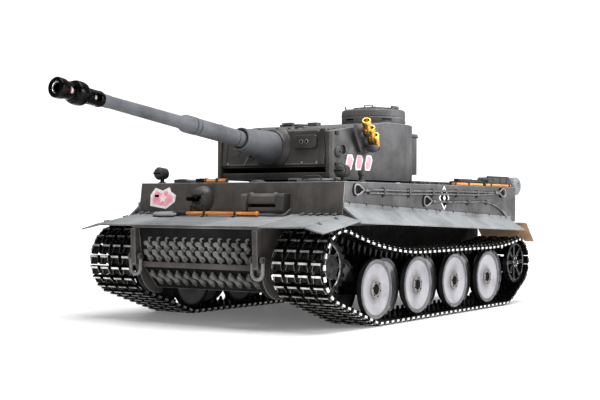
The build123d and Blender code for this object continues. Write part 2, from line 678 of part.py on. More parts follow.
def rear_fittings():
    """Two exhausts with their shields and the two air cleaners on the rear plate."""
    pieces = []
    for side in (1, -1):
        pipe = upright(rear_plate_x - 10, side * 22.0, 6.0, 58, 100)
        shield = upright(rear_plate_x - 10, side * 22.0, 9.5, 56, 90) - upright(rear_plate_x - 10, side * 22.0, 8.3, 55, 95)
        shield = shield + block(rear_plate_x - 9, rear_plate_x - 0.05, side * 22.0 - 12, side * 22.0 + 12, 54, 57)
        pieces.append(pipe + shield + upright(rear_plate_x - 10, side * 22.0, 9.0, 54, 58))
        drum = cross_rod(rear_plate_x - 9.5, 109.0, 8.5, side * 66.0, side * 97.0)
        drum = drum + block(rear_plate_x - 11, rear_plate_x - 0.05, *sorted((side * 70.0, side * 92.0)), 94, 107)
        pieces.append(drum)
    return pieces


def hull_fittings():
    """Small fixed pieces of the hull, each a solid of its own."""
    left = [headlight(), shackle(),
            hinge_pin(crew_hatch_x - 3.0, crew_hatch_x + 3.0, crew_hinge_y, crew_hinge_z, roof_z)]
    pieces = left + [mirrored(piece) for piece in left]
    pieces += visor() + [bow_collar()] + spare_links() + rear_fittings()
    # periscope hoods of the two front seats, the roof ventilator and a filler cap
    for side in (1, -1):
        hood = block(crew_hatch_x - 6, crew_hatch_x + 4, *sorted((side * 34.0, side * 43.0)), roof_z, roof_z + 3.2)
        pieces.append(hood)
    pieces.append(upright(6, 0, 7.0, roof_z, roof_z + 1.6) + upright(6, 0, 5.0, roof_z + 1, roof_z + 2.4))
    pieces.append(upright(-8, 88, 3.0, roof_z, roof_z + 5.5) + upright(-8, 88, 2.2, roof_z + 5, roof_z + 9.5))
    pieces.append(block(rear_plate_x + 0.5, rear_plate_x + 50, 82, 94, roof_z, roof_z + 8.6))
    return group(pieces)


pole_radius = 1.2              # the turret's front corners sweep over the roof poles


def tools():
    """Shovel on the glacis, hammer on the roof's front edge and poles on the roof."""
    slope = math.degrees(math.atan2(front_plate_foot_z - glacis_front_z, glacis_front_x - front_plate_foot_x))
    shovel_x = 47.0
    handle = cross_rod(shovel_x, glacis_top_z(shovel_x) + 1.9, 1.5, -48.0, 31.5)
    blade = Pos(shovel_x, -58.5, glacis_top_z(shovel_x) + 1.7) * Rot(0, slope, 0) * Box(15.0, 26.0, 1.2)
    hammer_x = 27.6
    hammer_z = roof_z + 1.7
    shaft = cross_rod(hammer_x, hammer_z, 1.6, -35.6, -13.6)
    head = block(hammer_x - 3.6, hammer_x + 3.6, -43.0, -35.6, roof_z, roof_z + 3.6)
    pole = long_rod(hull_half_width - 3.0, roof_z + pole_radius, pole_radius, -266.0, -147.0)
    rod = long_rod(-hull_half_width + 3.0, roof_z + pole_radius, pole_radius, -238.0, -60.0)
    return group([handle + blade, shaft, head, pole, rod])


# ---------------------------------------------------------------- tow cables
cable_radius = 1.1
cable_y = hull_half_width + cable_radius + 0.05


def cable(points, radii):
    """A steel rope along straight runs joined by arcs, in the plane of the hull side."""
    route = FilletPolyline(*[(x, cable_y, z) for x, z in points], radius=radii)
    start = Plane(origin=route @ 0, z_dir=route % 0)
    rope = sweep(start * Circle(cable_radius), path=route)
    return rope


def cable_eye(x, z, turn):
    """The forged eye at a cable's end, with its ferrule, lying flat on the side."""
    ring = Rot(90, 0, 0) * Torus(4.6, 1.1)
    ferrule = Pos(-8.3, 0, 0) * Rot(0, 90, 0) * Cylinder(1.7, 6.0)
    eye = ring + ferrule
    return Pos(x, hull_half_width + 1.75, z) * Rot(0, turn, 0) * eye


def tow_cables():
    """Two ropes on the left side, one on the right, with their eyes and clips."""
    pieces = []
    upper_z = roof_z - 5.5
    upper = [(4.0, upper_z), (-60.0, upper_z - 0.4), (-150.0, upper_z + 0.3), (-222.0, upper_z)]
    lower = [(-110.0, 94.0), (-150.0, 93.4), (-195.0, 94.6), (-222.0, 92.0), (-243.0, 84.0)]
    pieces.append(cable(upper, [60.0, 60.0]))
    pieces.append(cable(lower, [60.0, 60.0, 24.0]))
    pieces.append(cable_eye(15.8, upper_z, 0))
    pieces.append(cable_eye(-98.2, 94.0, 0))
    pieces.append(cable_eye(-233.8, upper_z, 180))
    clip_half = 1.5
    for x, z in ((-40, upper_z - 0.3), (-110, upper_z), (-190, upper_z + 0.1), (-160, 93.6), (-205, 93.7)):
        clip = block(x - clip_half, x + clip_half, hull_half_width, cable_y + cable_radius + 0.8, z - 2.6, z + 2.6)
        clip = clip - block(x - 5, x + 5, hull_half_width - 1, cable_y + cable_radius + 0.2,
                            z - cable_radius - 0.5, z + cable_radius + 0.5)
        pieces.append(clip)
    right = [mirrored(pieces[0]), mirrored(pieces[2]), mirrored(pieces[4])]
    right += [mirrored(pieces[i]) for i in (5, 6, 7)]
    return group(pieces + right)


# ---------------------------------------------------------------- inside the hull
def drive_units():
    """A gearbox with its motor for each sprocket."""
    pieces = []
    for side in (1, -1):
        y1 = arm_shaft_end_y - 1.5
        box = block(sprocket_x - 22, sprocket_x + 5, *sorted((side * (y1 - 22), side * y1)), belly_z + wall, 62)
        motor = cross_rod(sprocket_x - 12, 50, 9.0, side * (y1 - 21), side * 6.0)
        pieces.append(box + motor)
    return group(pieces)


def battery_pack():
    """Rechargeable pack lying along the floor."""
    pack = block(-150, -70, -24, 24, belly_z + wall, belly_z + wall + 22)
    return fillet(pack.edges().filter_by(Axis.X), 5.0)


def control_board():
    """Receiver and motor controller board on four posts, with the loudspeaker."""
    board = block(-235, -170, -40, 40, 50, 51.6)
    posts = [upright(x, y, 2.5, belly_z + wall, 50.2) for x in (-230, -175) for y in (-35, 35)]
    board = board + posts[0] + posts[1] + posts[2] + posts[3]
    speaker = upright(-195, 0, 18, belly_z + wall, belly_z + wall + 12)
    return group([board, speaker])


# ---------------------------------------------------------------- turret
def turret_outline(radius, front_x, front_half):
    """Horseshoe plan: a round back with straight sides that run in to the front."""
    reach = front_x - turret_x
    distance = math.hypot(reach, front_half)
    bearing = math.atan2(front_half, reach)
    touch = bearing + math.acos(radius / distance)
    tx, ty = radius * math.cos(touch), radius * math.sin(touch)
    edges = [
        Line((front_x, front_half), (turret_x + tx, ty)),
        ThreePointArc((turret_x + tx, ty), (turret_x - radius, 0), (turret_x + tx, -ty)),
        Line((turret_x + tx, -ty), (front_x, -front_half)),
        Line((front_x, -front_half), (front_x, front_half)),
    ]
    return make_face([e.edges()[0] for e in edges])


def roof_wedge(lower):
    """Everything above the turret roof, shifted down by lower."""
    far = 40.0
    return side_prism([
        (turret_front_x + far, turret_roof_z + far), (turret_x - 2 * turret_radius, turret_roof_z + far),
        (turret_x - 2 * turret_radius, turret_roof_z - lower), (turret_roof_bend_x, turret_roof_z - lower),
        (turret_front_x, turret_brow_z - lower),
        (turret_front_x + far, turret_brow_z - lower - far * roof_fall),
    ], -2 * turret_radius, 2 * turret_radius)


roof_fall = (turret_roof_z - turret_brow_z) / (turret_front_x - turret_roof_bend_x)


def turret_shell():
    """Curved wall, roof and floor, open at the front for the mantlet."""
    height = turret_roof_z - turret_bottom_z
    outer = Pos(0, 0, turret_bottom_z) * extrude(turret_outline(turret_radius, turret_front_x,
                                                                turret_front_half_width), height)
    outer = outer - roof_wedge(0)
    w = turret_wall
    inner = Pos(0, 0, turret_bottom_z + wall) * extrude(
        turret_outline(turret_radius - w, turret_front_x + 5, turret_front_half_width - w - 0.6), height)
    inner = inner - roof_wedge(wall)
    shell = outer - inner
    # the ring that turns in the hull roof, below the floor
    spigot = upright(turret_x, 0, turret_ring_radius, roof_z - 6, turret_bottom_z + 1)
    shell = shell + spigot
    shell = shell - upright(turret_x, 0, turret_ring_radius - wall, roof_z - 8, turret_bottom_z + wall + 0.5)
    # room for the mantlet to turn
    mouth = mantlet_half_width + safe_gap
    sweep_radius = math.hypot(mantlet_half_height, 4.2) + safe_gap
    shell = shell - cross_rod(trunnion_x, trunnion_z, sweep_radius, -mouth, mouth)
    shell = shell - block(trunnion_x, turret_front_x + 20, -mouth, mouth, turret_bottom_z + wall, turret_roof_z + 10)
    for side in (1, -1):
        bearing = cross_rod(trunnion_x, trunnion_z, trunnion_radius + running_gap, side * (mouth - 1),
                            side * (turret_front_half_width + 15))
        shell = shell - bearing
    # sill under the mantlet, low enough for it to tip down
    shell = shell + block(turret_front_x - 2.5, turret_front_x, 1 - turret_front_half_width, turret_front_half_width - 1,
                          turret_bottom_z, turret_bottom_z + 5.4)
    # openings under the two roof hatches
    shell = shell - upright(cupola_x, cupola_y, cupola_hatch_radius - 1.5, turret_roof_z - 8, turret_roof_z + 1)
    return shell - block(loader_hatch_x - loader_hatch_length / 2 + 2, loader_hatch_x + loader_hatch_length / 2 - 2,
                         loader_hatch_y - loader_hatch_width / 2 + 2, loader_hatch_y + loader_hatch_width / 2 - 2,
                         turret_roof_z - 8, turret_roof_z + 1)


cupola_top_z = turret_roof_z + cupola_height


def cupola():
    """Drum cupola with vision slits all round, open at the top."""
    base = turret_roof_z
    profile = [
        (cupola_hatch_radius - 1.5, base), (cupola_radius, base), (cupola_radius, base + 6.6),
        (cupola_radius - 0.4, base + 7.0), (cupola_radius - 0.8, cupola_top_z - 1.2),
        (cupola_radius - 2.4, cupola_top_z), (cupola_hatch_radius - 1.5, cupola_top_z),
    ]
    outline = Polyline(*[(r, 0, z) for r, z in profile], close=True)
    drum = revolve(make_face(outline), Axis.Z)
    for i in range(5):
        slit = Pos(cupola_radius, 0, base + 4.6) * Box(5.0, 9.5, 1.3)
        drum = drum - Rot(0, 0, 55 + 72 * i) * slit
    ring = Pos(cupola_x, cupola_y, 0) * drum
    pin = hinge_pin(-3.0, 3.0, 0, commander_hinge_z, cupola_top_z - 0.5)
    return ring + Pos(cupola_x, cupola_y + commander_hinge_reach, 0) * pin


commander_hinge_reach = cupola_hatch_radius + 3.4
commander_hinge_z = cupola_top_z + 1.9


def commander_hatch():
    """Round lid on the cupola, hinged on its outer side, with a handle."""
    z = cupola_top_z + 0.3
    lid = upright(0, 0, cupola_hatch_radius, z, z + 1.6)
    reach = cupola_hatch_radius - 5
    dome = revolve(make_face(Polyline((0, 0, z + 1), (reach, 0, z + 1), (reach, 0, z + 1.6), (reach * 0.8, 0, z + 2.4),
                                      (reach * 0.4, 0, z + 2.9), (0, 0, z + 3.0), close=True)), Axis.Z)
    lid = lid + dome
    lid = lid + block(-3.0, 3.0, cupola_hatch_radius - 3, commander_hinge_reach, z, z + 1.6)
    lid = lid + long_rod(commander_hinge_reach, commander_hinge_z, 1.5, -3.0, 3.0)
    lid = lid - long_rod(commander_hinge_reach, commander_hinge_z, 0.75, -4.0, 4.0)
    return Pos(cupola_x, cupola_y, 0) * lid


loader_hinge_x = loader_hatch_x + loader_hatch_length / 2 + 2.4
loader_hinge_z = turret_roof_z + 2.0


def loader_hatch():
    """Rectangular lid on the turret roof, hinged at its front edge."""
    z = turret_roof_z + 0.3
    x0, x1 = loader_hatch_x - loader_hatch_length / 2, loader_hatch_x + loader_hatch_length / 2
    y0, y1 = loader_hatch_y - loader_hatch_width / 2, loader_hatch_y + loader_hatch_width / 2
    lid = block(x0, x1, y0, y1, z, z + lid_thickness)
    lid = fillet(lid.edges().filter_by(Axis.Z), 3.0)
    lid = lid + block(x1 - 2, loader_hinge_x, loader_hatch_y - 4, loader_hatch_y + 4, z, z + lid_thickness)
    lid = lid + cross_rod(loader_hinge_x, loader_hinge_z, 1.5, loader_hatch_y - 4, loader_hatch_y + 4)
    grip = block(x0 + 4, x0 + 5.4, loader_hatch_y - 4, loader_hatch_y + 4, z + 1, z + lid_thickness + 1.6)
    lid = lid + grip
    return lid - cross_rod(loader_hinge_x, loader_hinge_z, 0.75, loader_hatch_y - 6, loader_hatch_y + 6)


def roof_fittings():
    """Fixed pieces on the turret roof: ventilator, periscope, lifting posts, hinge."""
    pin = cross_rod(loader_hinge_x, loader_hinge_z, 0.7, loader_hatch_y - 6.0, loader_hatch_y + 6.0)
    for s in (1, -1):
        y0, y1 = sorted((loader_hatch_y + s * 4.5, loader_hatch_y + s * 6.0))
        pin = pin + block(loader_hinge_x - 1.3, loader_hinge_x + 1.3, y0, y1, turret_roof_z, loader_hinge_z + 1.3)
    fan = upright(-132, -22, 8.0, turret_roof_z, turret_roof_z + 2.6)
    hood = block(-76 - 4, -76 + 2, -6, 4, turret_roof_z - 0.9, turret_roof_z + 2.0)
    hood = hood - roof_solid_below()
    return [pin, fan, hood]


def roof_solid_below():
    """Everything below the turret roof's outer face, for seating pieces on it."""
    deep = 30.0
    return side_prism([
        (turret_x - 2 * turret_radius, turret_roof_z), (turret_roof_bend_x, turret_roof_z),
        (turret_front_x, turret_brow_z), (turret_front_x, turret_brow_z - deep),
        (turret_x - 2 * turret_radius, turret_brow_z - deep),
    ], -2 * turret_radius, 2 * turret_radius)


def stowage_bin():
    """Bin that wraps the back of the turret, with a lid."""
    rear = block(bin_rear_x, turret_x - 40, -bin_half_width, bin_half_width, bin_bottom_z, bin_top_z)
    rear = fillet(rear.edges().filter_by(Axis.Z).sort_by(Axis.X)[:2], 9.0)
    lid = block(bin_rear_x - 0.8, turret_x - 40, -bin_half_width - 0.8, bin_half_width + 0.8, bin_top_z - 2.4, bin_top_z)
    lid = fillet(lid.edges().filter_by(Axis.Z).sort_by(Axis.X)[:2], 9.8)
    return rear + lid - upright(turret_x, 0, turret_radius + 0.3, bin_bottom_z - 1, bin_top_z + 1)


smoke_x = -47.0
smoke_tube_radius = 2.7


def smoke_dischargers():
    """Three launching tubes on a bracket on each side of the turret."""
    pieces = []
    seats = ((smoke_x + 5.0, 153.0), (smoke_x - 1.5, 147.5), (smoke_x - 8.0, 142.0))
    for x, z in seats:
        tube = Cylinder(smoke_tube_radius, 11.0) - Pos(0, 0, 2.5) * Cylinder(smoke_tube_radius - 0.7, 8.0)
        pieces.append(Pos(x, 72.5, z) * Rot(0, 0, 25) * Rot(0, -48, 0) * Rot(0, 90, 0) * tube)
    wall_y = turret_wall_y(smoke_x)
    bracket = block(smoke_x - 3.0, smoke_x + 3.0, wall_y - 4.0, wall_y + 1.6, 134.0, 150.0)
    bracket = bracket - turret_inside()
    left = [bracket] + pieces
    return group(left + [mirrored(p) for p in left])


def turret_wall_y(x):
    """Half-width of the turret's straight cheek at x."""
    reach = turret_front_x - turret_x
    distance = math.hypot(reach, turret_front_half_width)
    bearing = math.atan2(turret_front_half_width, reach)
    touch = bearing + math.acos(turret_radius / distance)
    tx, ty = turret_radius * math.cos(touch), turret_radius * math.sin(touch)
    return line_between(turret_x + tx, ty, turret_front_x, turret_front_half_width, x)


def turret_inside():
    """The turret's outer form as one solid, for trimming what is fixed to it."""
    height = turret_roof_z - turret_bottom_z
    return Pos(0, 0, turret_bottom_z) * extrude(
        turret_outline(turret_radius + 0.05, turret_front_x, turret_front_half_width + 0.05), height)


# ---------------------------------------------------------------- gun
def aimed(shape):
    """Puts a gun piece, drawn along +X from the trunnions, at its rest elevation."""
    return Pos(trunnion_x, 0, trunnion_z) * Rot(0, -gun_rest_elevation, 0) * shape


def gun_turned(profile):
    """A turned piece along the gun's axis from (distance, radius) points."""
    outline = Polyline(*[(s, 0, r) for s, r in profile], close=True)
    return revolve(make_face(outline), Axis.X)


def gun_mantlet():
    """Mantlet plate with rounded back, trunnions and the barrel's sleeve."""
    h = mantlet_half_height
    section = side_prism([(0, h), (mantlet_front - 2, h), (mantlet_front, h - 2), (mantlet_front, 2 - h),
                          (mantlet_front - 2, -h), (0, -h)], -mantlet_half_width, mantlet_half_width)
    back = cross_rod(0, 0, h, -mantlet_half_width, mantlet_half_width)
    hollow = cross_rod(0, 0, h - 4.0, 16.0, mantlet_half_width - 4.0)
    body = section + back - hollow - mirrored(hollow)
    body = body - block(-h - 1, -4, -mantlet_half_width + 6, mantlet_half_width - 6, -h + 5, h - 5)
    sleeve = gun_turned([(0, 0.0), (0, sleeve_root_radius + 2), (mantlet_front, sleeve_root_radius + 1.4),
                         (mantlet_front + 3, sleeve_root_radius), (sleeve_length - 4, sleeve_mouth_radius + 0.2),
                         (sleeve_length, sleeve_mouth_radius - 0.4), (sleeve_length, 0.0)])
    body = body + sleeve
    pin_end = turret_front_half_width + 1.0
    body = body + cross_rod(0, 0, trunnion_radius, -pin_end, pin_end)
    bore = gun_turned([(-30, 0.0), (-30, barrel_thick_radius + running_gap),
                       (sleeve_length - 5, barrel_thick_radius + running_gap),
                       (sleeve_length - 4, barrel_thick_radius + 1.2),
                       (sleeve_length + 1, barrel_thick_radius + 1.2), (sleeve_length + 1, 0.0)])
    body = body - bore
    # coaxial gun port and the two sight holes
    body = body - long_rod(-20, 2, 1.6, mantlet_front - 5, mantlet_front + 1)
    for y in (23.0, 27.0):
        body = body - long_rod(y, 4, 0.9, mantlet_front - 5, mantlet_front + 1)
    return aimed(body)


def gun_barrel():
    """Stepped barrel with its collar, free to slide back in the sleeve."""
    tube = gun_turned([
        (-24, 0.0), (-24, barrel_thick_radius), (barrel_step_s - 7, barrel_thick_radius),
        (barrel_step_s - 6.6, barrel_thick_radius - 0.5), (barrel_step_s - 6, barrel_thick_radius - 0.5),
        (barrel_step_s - 5.6, barrel_thick_radius + 0.2), (barrel_step_s + 6, barrel_thick_radius),
        (barrel_step_s + 9, barrel_thin_radius + 0.3), (barrel_step_s + 10, barrel_thin_radius),
        (brake_start_s, barrel_muzzle_radius), (brake_start_s, 0.0)])
    return aimed(tube)


def muzzle_brake():
    """Two-baffle muzzle brake with side ports, on a threaded collar."""
    start, r = brake_start_s, brake_radius
    solid = gun_turned([
        (start, 0.0), (start, 5.0), (start + 1.5, 5.4), (start + 14, 5.4), (start + 16, 6.4), (start + 18, 7.7),
        (start + 20, 8.1), (start + 24, 8.1), (start + 26, 7.6), (start + 27, 6.0), (muzzle_s - 7.5, 6.0),
        (muzzle_s - 6.5, r - 0.2), (muzzle_s - 5, r), (muzzle_s - 1, r), (muzzle_s, r - 0.8), (muzzle_s, 0.0)])
    port_a = block(start + 4, start + 12, -10, 10, -2.3, 2.3)
    port_b = block(start + 28, start + 34, -10, 10, -2.5, 2.5)
    solid = solid - port_a - port_b
    bore = long_rod(0, 0, bore_radius, brake_start_s + 2, muzzle_s + 1)
    mouth = long_rod(0, 0, bore_radius + 1.4, muzzle_s - 2.2, muzzle_s + 1)
    return aimed(solid - bore - mouth)


# ---------------------------------------------------------------- assembly
def all_nodes():
    """Every node by name, still measured from the first axle."""
    nodes = {
        "lower_hull": lower_hull(),
        "upper_hull": upper_hull(),
        "engine_deck": engine_deck(),
        "mudguards": mudguards(),
        "tow_cables": tow_cables(),
        "hull_tools": tools(),
        "hull_fittings": hull_fittings(),
        "bow_gun": bow_gun(),
        "driver_hatch": crew_hatch(),
        "radio_hatch": mirrored(crew_hatch()),
        "drive_units": drive_units(),
        "battery_pack": battery_pack(),
        "control_board": control_board(),
        "turret_shell": group([turret_shell()] + roof_fittings()),
        "cupola": cupola(),
        "commander_hatch": commander_hatch(),
        "loader_hatch": loader_hatch(),
        "stowage_bin": stowage_bin(),
        "smoke_dischargers": smoke_dischargers(),
        "gun_mantlet": gun_mantlet(),
        "gun_barrel": gun_barrel(),
        "muzzle_brake": muzzle_brake(),
        "left_track": track(track_centre_y),
        "right_track": track(-track_centre_y),
    }
    drive = Pos(sprocket_x, 0, sprocket_z) * sprocket()
    guide = Pos(idler_x, 0, idler_z) * idler()
    nodes["left_sprocket"] = drive
    nodes["right_sprocket"] = mirrored(drive)
    nodes["left_idler"] = guide
    nodes["right_idler"] = mirrored(guide)
    for i, x in enumerate(axle_xs):
        at_axle = Pos(x, 0, wheel_centre_z)
        arm = at_axle * swing_arm(i + 1)
        wheels = at_axle * wheel_set(i + 1)
        nodes[f"left_arm_{i + 1}"] = arm
        nodes[f"right_arm_{i + 1}"] = mirrored(arm)
        nodes[f"left_wheels_{i + 1}"] = wheels
        nodes[f"right_wheels_{i + 1}"] = mirrored(wheels)
    return nodes


def centring(nodes):
    """The move that puts the origin at the bottom centre of the whole box."""
    boxes = [shape.bounding_box() for shape in nodes.values()]
    low_x = min(box.min.X for box in boxes)
    high_x = max(box.max.X for box in boxes)
    low_z = min(box.min.Z for box in boxes)
    return -(low_x + high_x) / 2, -low_z


def main():
    nodes = all_nodes()
    shift_x, shift_z = centring(nodes)
    os.makedirs("parts", exist_ok=True)
    for name, shape in nodes.items():
        export_step(Pos(shift_x, 0, shift_z) * shape, f"parts/{name}.step")
    print(f"{len(nodes)} nodes, moved {shift_x:.3f} along X and {shift_z:.3f} up")
    print(f"track line {path.length:.1f} mm, link pitch {link_pitch:.3f} mm")


if __name__ == "__main__":
    main()
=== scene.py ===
# %% [markdown]
# # A model tank, piece by piece
# This notebook gives a radio-controlled model tank its looks. The engineering model
# is already made: it says where every piece is, how large it is and how it moves.
# Here each visible piece gets its finished shape and its paint, on top of that frame.
# Work is in millimetres measured from the first road-wheel axle, with X forward, Y to
# the tank's left and Z up. A last step brings each piece to metres in the frame.

# %% Load the frame
import math
from contextlib import contextmanager

import bmesh
import bpy
from mathutils import Matrix, Vector


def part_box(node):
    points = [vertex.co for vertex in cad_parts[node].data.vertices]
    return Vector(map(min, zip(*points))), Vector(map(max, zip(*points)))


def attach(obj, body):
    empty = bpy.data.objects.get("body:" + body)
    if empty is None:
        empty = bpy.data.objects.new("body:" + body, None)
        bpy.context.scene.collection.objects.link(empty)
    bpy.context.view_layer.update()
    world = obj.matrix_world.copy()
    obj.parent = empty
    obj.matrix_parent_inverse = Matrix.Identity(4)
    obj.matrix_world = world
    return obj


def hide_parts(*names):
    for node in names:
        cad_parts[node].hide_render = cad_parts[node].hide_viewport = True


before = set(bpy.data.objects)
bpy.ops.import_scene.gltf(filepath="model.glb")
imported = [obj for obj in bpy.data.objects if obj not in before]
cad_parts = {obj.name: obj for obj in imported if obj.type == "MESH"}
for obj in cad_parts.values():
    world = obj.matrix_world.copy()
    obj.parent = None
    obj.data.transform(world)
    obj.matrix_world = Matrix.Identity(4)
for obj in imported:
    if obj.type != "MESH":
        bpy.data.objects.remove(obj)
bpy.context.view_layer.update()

# %% [markdown]
# ## Measuring the frame
# Positions are read from the frame, never guessed. The first road-wheel axle is the
# place to measure from, because the running gear repeats from it.

# %% Measure in millimetres
MM = 0.001
wheel_low, wheel_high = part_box("left_wheels_1")
first_axle_x = (wheel_low.x + wheel_high.x) / 2
to_metres = Matrix.Translation((first_axle_x, 0, 0)) @ Matrix.Scale(MM, 4)
to_millimetres = to_metres.inverted()


def span(node):
    """A node's lowest and highest corner, in millimetres from the first axle."""
    low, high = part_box(node)
    return to_millimetres @ low, to_millimetres @ high


def middle(node):
    """The centre of a node's box, in millimetres."""
    low, high = span(node)
    return (low + high) / 2


hull_low, hull_high = span("upper_hull")
track_low, track_high = span("left_track")
hull_half = hull_high.y
roof_z = hull_high.z
rear_x = hull_low.x
print("roof", round(roof_z, 1), "half width", round(hull_half, 1), "rear", round(rear_x, 1))

# %% [markdown]
# ## Working as by hand
# Modelling is a round of select, change, look. These short helpers do the selecting,
# so that each later cell reads as the change it makes. An operator acts on everything
# that is selected, so each helper starts by deselecting.


# %% Selecting and editing
def pick(*objects):
    """Selects only these objects, the first of them active."""
    bpy.ops.object.select_all(action="DESELECT")
    for obj in objects:
        obj.select_set(True)
    bpy.context.view_layer.objects.active = objects[0]


@contextmanager
def editing(obj, kind="FACE"):
    """Edit mode on one object, with nothing selected at the start."""
    pick(obj)
    bpy.ops.object.mode_set(mode="EDIT")
    bpy.ops.mesh.select_mode(type=kind)
    bpy.ops.mesh.select_all(action="DESELECT")
    yield
    bpy.ops.object.mode_set(mode="OBJECT")


def choose(obj, kind, test):
    """In edit mode, selects only the verts, edges or faces that pass a test."""
    bpy.ops.mesh.select_all(action="DESELECT")
    mesh = bmesh.from_edit_mesh(obj.data)
    chosen = [e for e in getattr(mesh, kind) if test(e)]
    for element in chosen:
        element.select_set(True)
    mesh.select_flush_mode()
    bmesh.update_edit_mesh(obj.data)
    return len(chosen)


def face_outwards(obj):
    """Recalculates a closed shape's normals so that its faces point outwards."""
    with editing(obj):
        bpy.ops.mesh.select_all(action="SELECT")
        bpy.ops.mesh.remove_doubles(threshold=0.0005)
        bpy.ops.mesh.normals_make_consistent(inside=False)
    return obj

# %% [markdown]
# ## Starting shapes
# Every piece starts as a primitive: a cube, a cylinder, a circle used as an outline,
# or a circle used as a profile that is spun round an axis. None of them is a finished
# piece; they are what a cutter or a lathe would start from.


# %% Boxes and rods
def settle(obj):
    """Puts an object's place, turn and size into its mesh."""
    pick(obj)
    bpy.ops.object.transform_apply(location=True, rotation=True, scale=True)
    return obj


def block(low, high):
    """A box from its lowest to its highest corner."""
    bpy.ops.object.select_all(action="DESELECT")
    centre = [(a + b) / 2 for a, b in zip(low, high)]
    bpy.ops.mesh.primitive_cube_add(size=1, location=centre)
    obj = bpy.context.object
    obj.scale = [abs(b - a) for a, b in zip(low, high)]
    return settle(obj)


ALONG = {"X": (0, math.pi / 2, 0), "Y": (math.pi / 2, 0, 0), "Z": (0, 0, 0)}


def rod(centre, radius, length, axis="Z", sides=32, tip=None):
    """A round bar, or a cone where tip gives the far end's radius."""
    bpy.ops.object.select_all(action="DESELECT")
    bpy.ops.mesh.primitive_cone_add(vertices=sides, radius1=radius,
                                    radius2=radius if tip is None else tip,
                                    depth=length, location=centre, rotation=ALONG[axis])
    return settle(bpy.context.object)


# %% Outlines and turned shapes
def outline(points, plane="XZ", at=0.0, thick=1.0):
    """A plate cut to an outline of (u, v) points, extruded along the third axis."""
    place = {"XZ": lambda u, v: (u, at, v), "XY": lambda u, v: (u, v, at),
             "YZ": lambda u, v: (at, u, v)}[plane]
    push = {"XZ": (0, thick, 0), "XY": (0, 0, thick), "YZ": (thick, 0, 0)}[plane]
    bpy.ops.object.select_all(action="DESELECT")
    bpy.ops.mesh.primitive_circle_add(vertices=len(points), fill_type="NGON")
    obj = bpy.context.object
    for vertex, point in zip(obj.data.vertices, points):
        vertex.co = place(*point)
    with editing(obj):
        bpy.ops.mesh.select_all(action="SELECT")
        bpy.ops.mesh.extrude_region_move(TRANSFORM_OT_translate={"value": push})
        bpy.ops.mesh.select_all(action="SELECT")
        bpy.ops.mesh.normals_make_consistent(inside=False)
    return obj


def turned(profile, centre=(0, 0, 0), axis="X", steps=64, ring=False):
    """A lathe-turned shape from (distance, radius) points along an axis through centre.
    A ring's profile is a closed loop; any other runs from axis to axis."""
    bpy.ops.object.select_all(action="DESELECT")
    bpy.ops.mesh.primitive_circle_add(vertices=len(profile), fill_type="NOTHING")
    obj = bpy.context.object
    for vertex, (along, radius) in zip(obj.data.vertices, profile):
        vertex.co = (along, 0, radius)
    last = len(profile) - 1
    with editing(obj, "EDGE"):
        if not ring:
            choose(obj, "edges", lambda e: {v.index for v in e.verts} == {0, last})
            bpy.ops.mesh.delete(type="EDGE")
        bpy.ops.mesh.select_all(action="SELECT")
        bpy.ops.mesh.spin(steps=steps, angle=2 * math.pi, center=(0, 0, 0), axis=(1, 0, 0))
    face_outwards(obj)
    obj.rotation_euler = {"X": (0, 0, 0), "Y": (0, 0, math.pi / 2), "Z": (0, -math.pi / 2, 0)}[axis]
    obj.location = centre
    return settle(obj)

# %% [markdown]
# ## Finishing a shape
# Real edges are never knife sharp. A narrow bevel catches the light along each edge,
# and because its faces get a material of their own, the same step gives the rubbed,
# lighter paint that edges have.


# %% Bevels, copies and joins
def soften(obj, width=0.35, segments=2, angle=30, edge_material=0):
    """Bevels the sharp edges and shades the rest smooth."""
    modifier = obj.modifiers.new("edges", "BEVEL")
    modifier.width = width
    modifier.segments = segments
    modifier.limit_method = "ANGLE"
    modifier.angle_limit = math.radians(angle)
    modifier.use_clamp_overlap = False
    modifier.material = edge_material
    pick(obj)
    bpy.ops.object.modifier_apply(modifier=modifier.name)
    return smooth(obj, 35)


def edged(obj, width, segments=2):
    """Bevels the edges in the shape's second material, as where paint has worn."""
    return soften(obj, width, segments, 30, edge_material=1)


def smooth(obj, angle=35):
    """Shades the faces smooth, keeping edges sharper than the angle."""
    pick(obj)
    bpy.ops.object.shade_smooth_by_angle(angle=math.radians(angle))
    return obj


def finish_in(obj, *materials):
    """Gives a shape its material slots, before shapes are joined."""
    obj.data.materials.clear()
    for material in materials:
        obj.data.materials.append(material)
    return obj


def join(*objects):
    """Joins finished shapes into one piece."""
    pick(*objects)
    bpy.ops.object.join()
    return objects[0]


def copy_at(obj, move=(0, 0, 0), turn=None, about=(0, 0, 0)):
    """A copy with a mesh of its own, turned about a point and then moved."""
    twin = obj.copy()
    twin.data = obj.data.copy()
    bpy.context.scene.collection.objects.link(twin)
    spin = Matrix.Identity(4) if turn is None else turn
    pivot = Matrix.Translation(about)
    twin.data.transform(Matrix.Translation(move) @ pivot @ spin @ pivot.inverted())
    return twin


def mirrored(obj):
    """The same shape on the tank's other side."""
    twin = copy_at(obj)
    twin.data.transform(Matrix.Scale(-1, 4, (0, 1, 0)))
    twin.data.flip_normals()
    return twin


def turn_about(axis, degrees):
    """A turn about an axis through the origin."""
    return Matrix.Rotation(math.radians(degrees), 4, axis)

# %% [markdown]
# ## Taking a shape from the frame
# Where the engineering shape is already right, it is copied, not modelled again. Its
# loose triangles are merged into whole faces first, so that a bevel can run along the
# real edges. A last helper brings a piece into the frame and sets it riding.


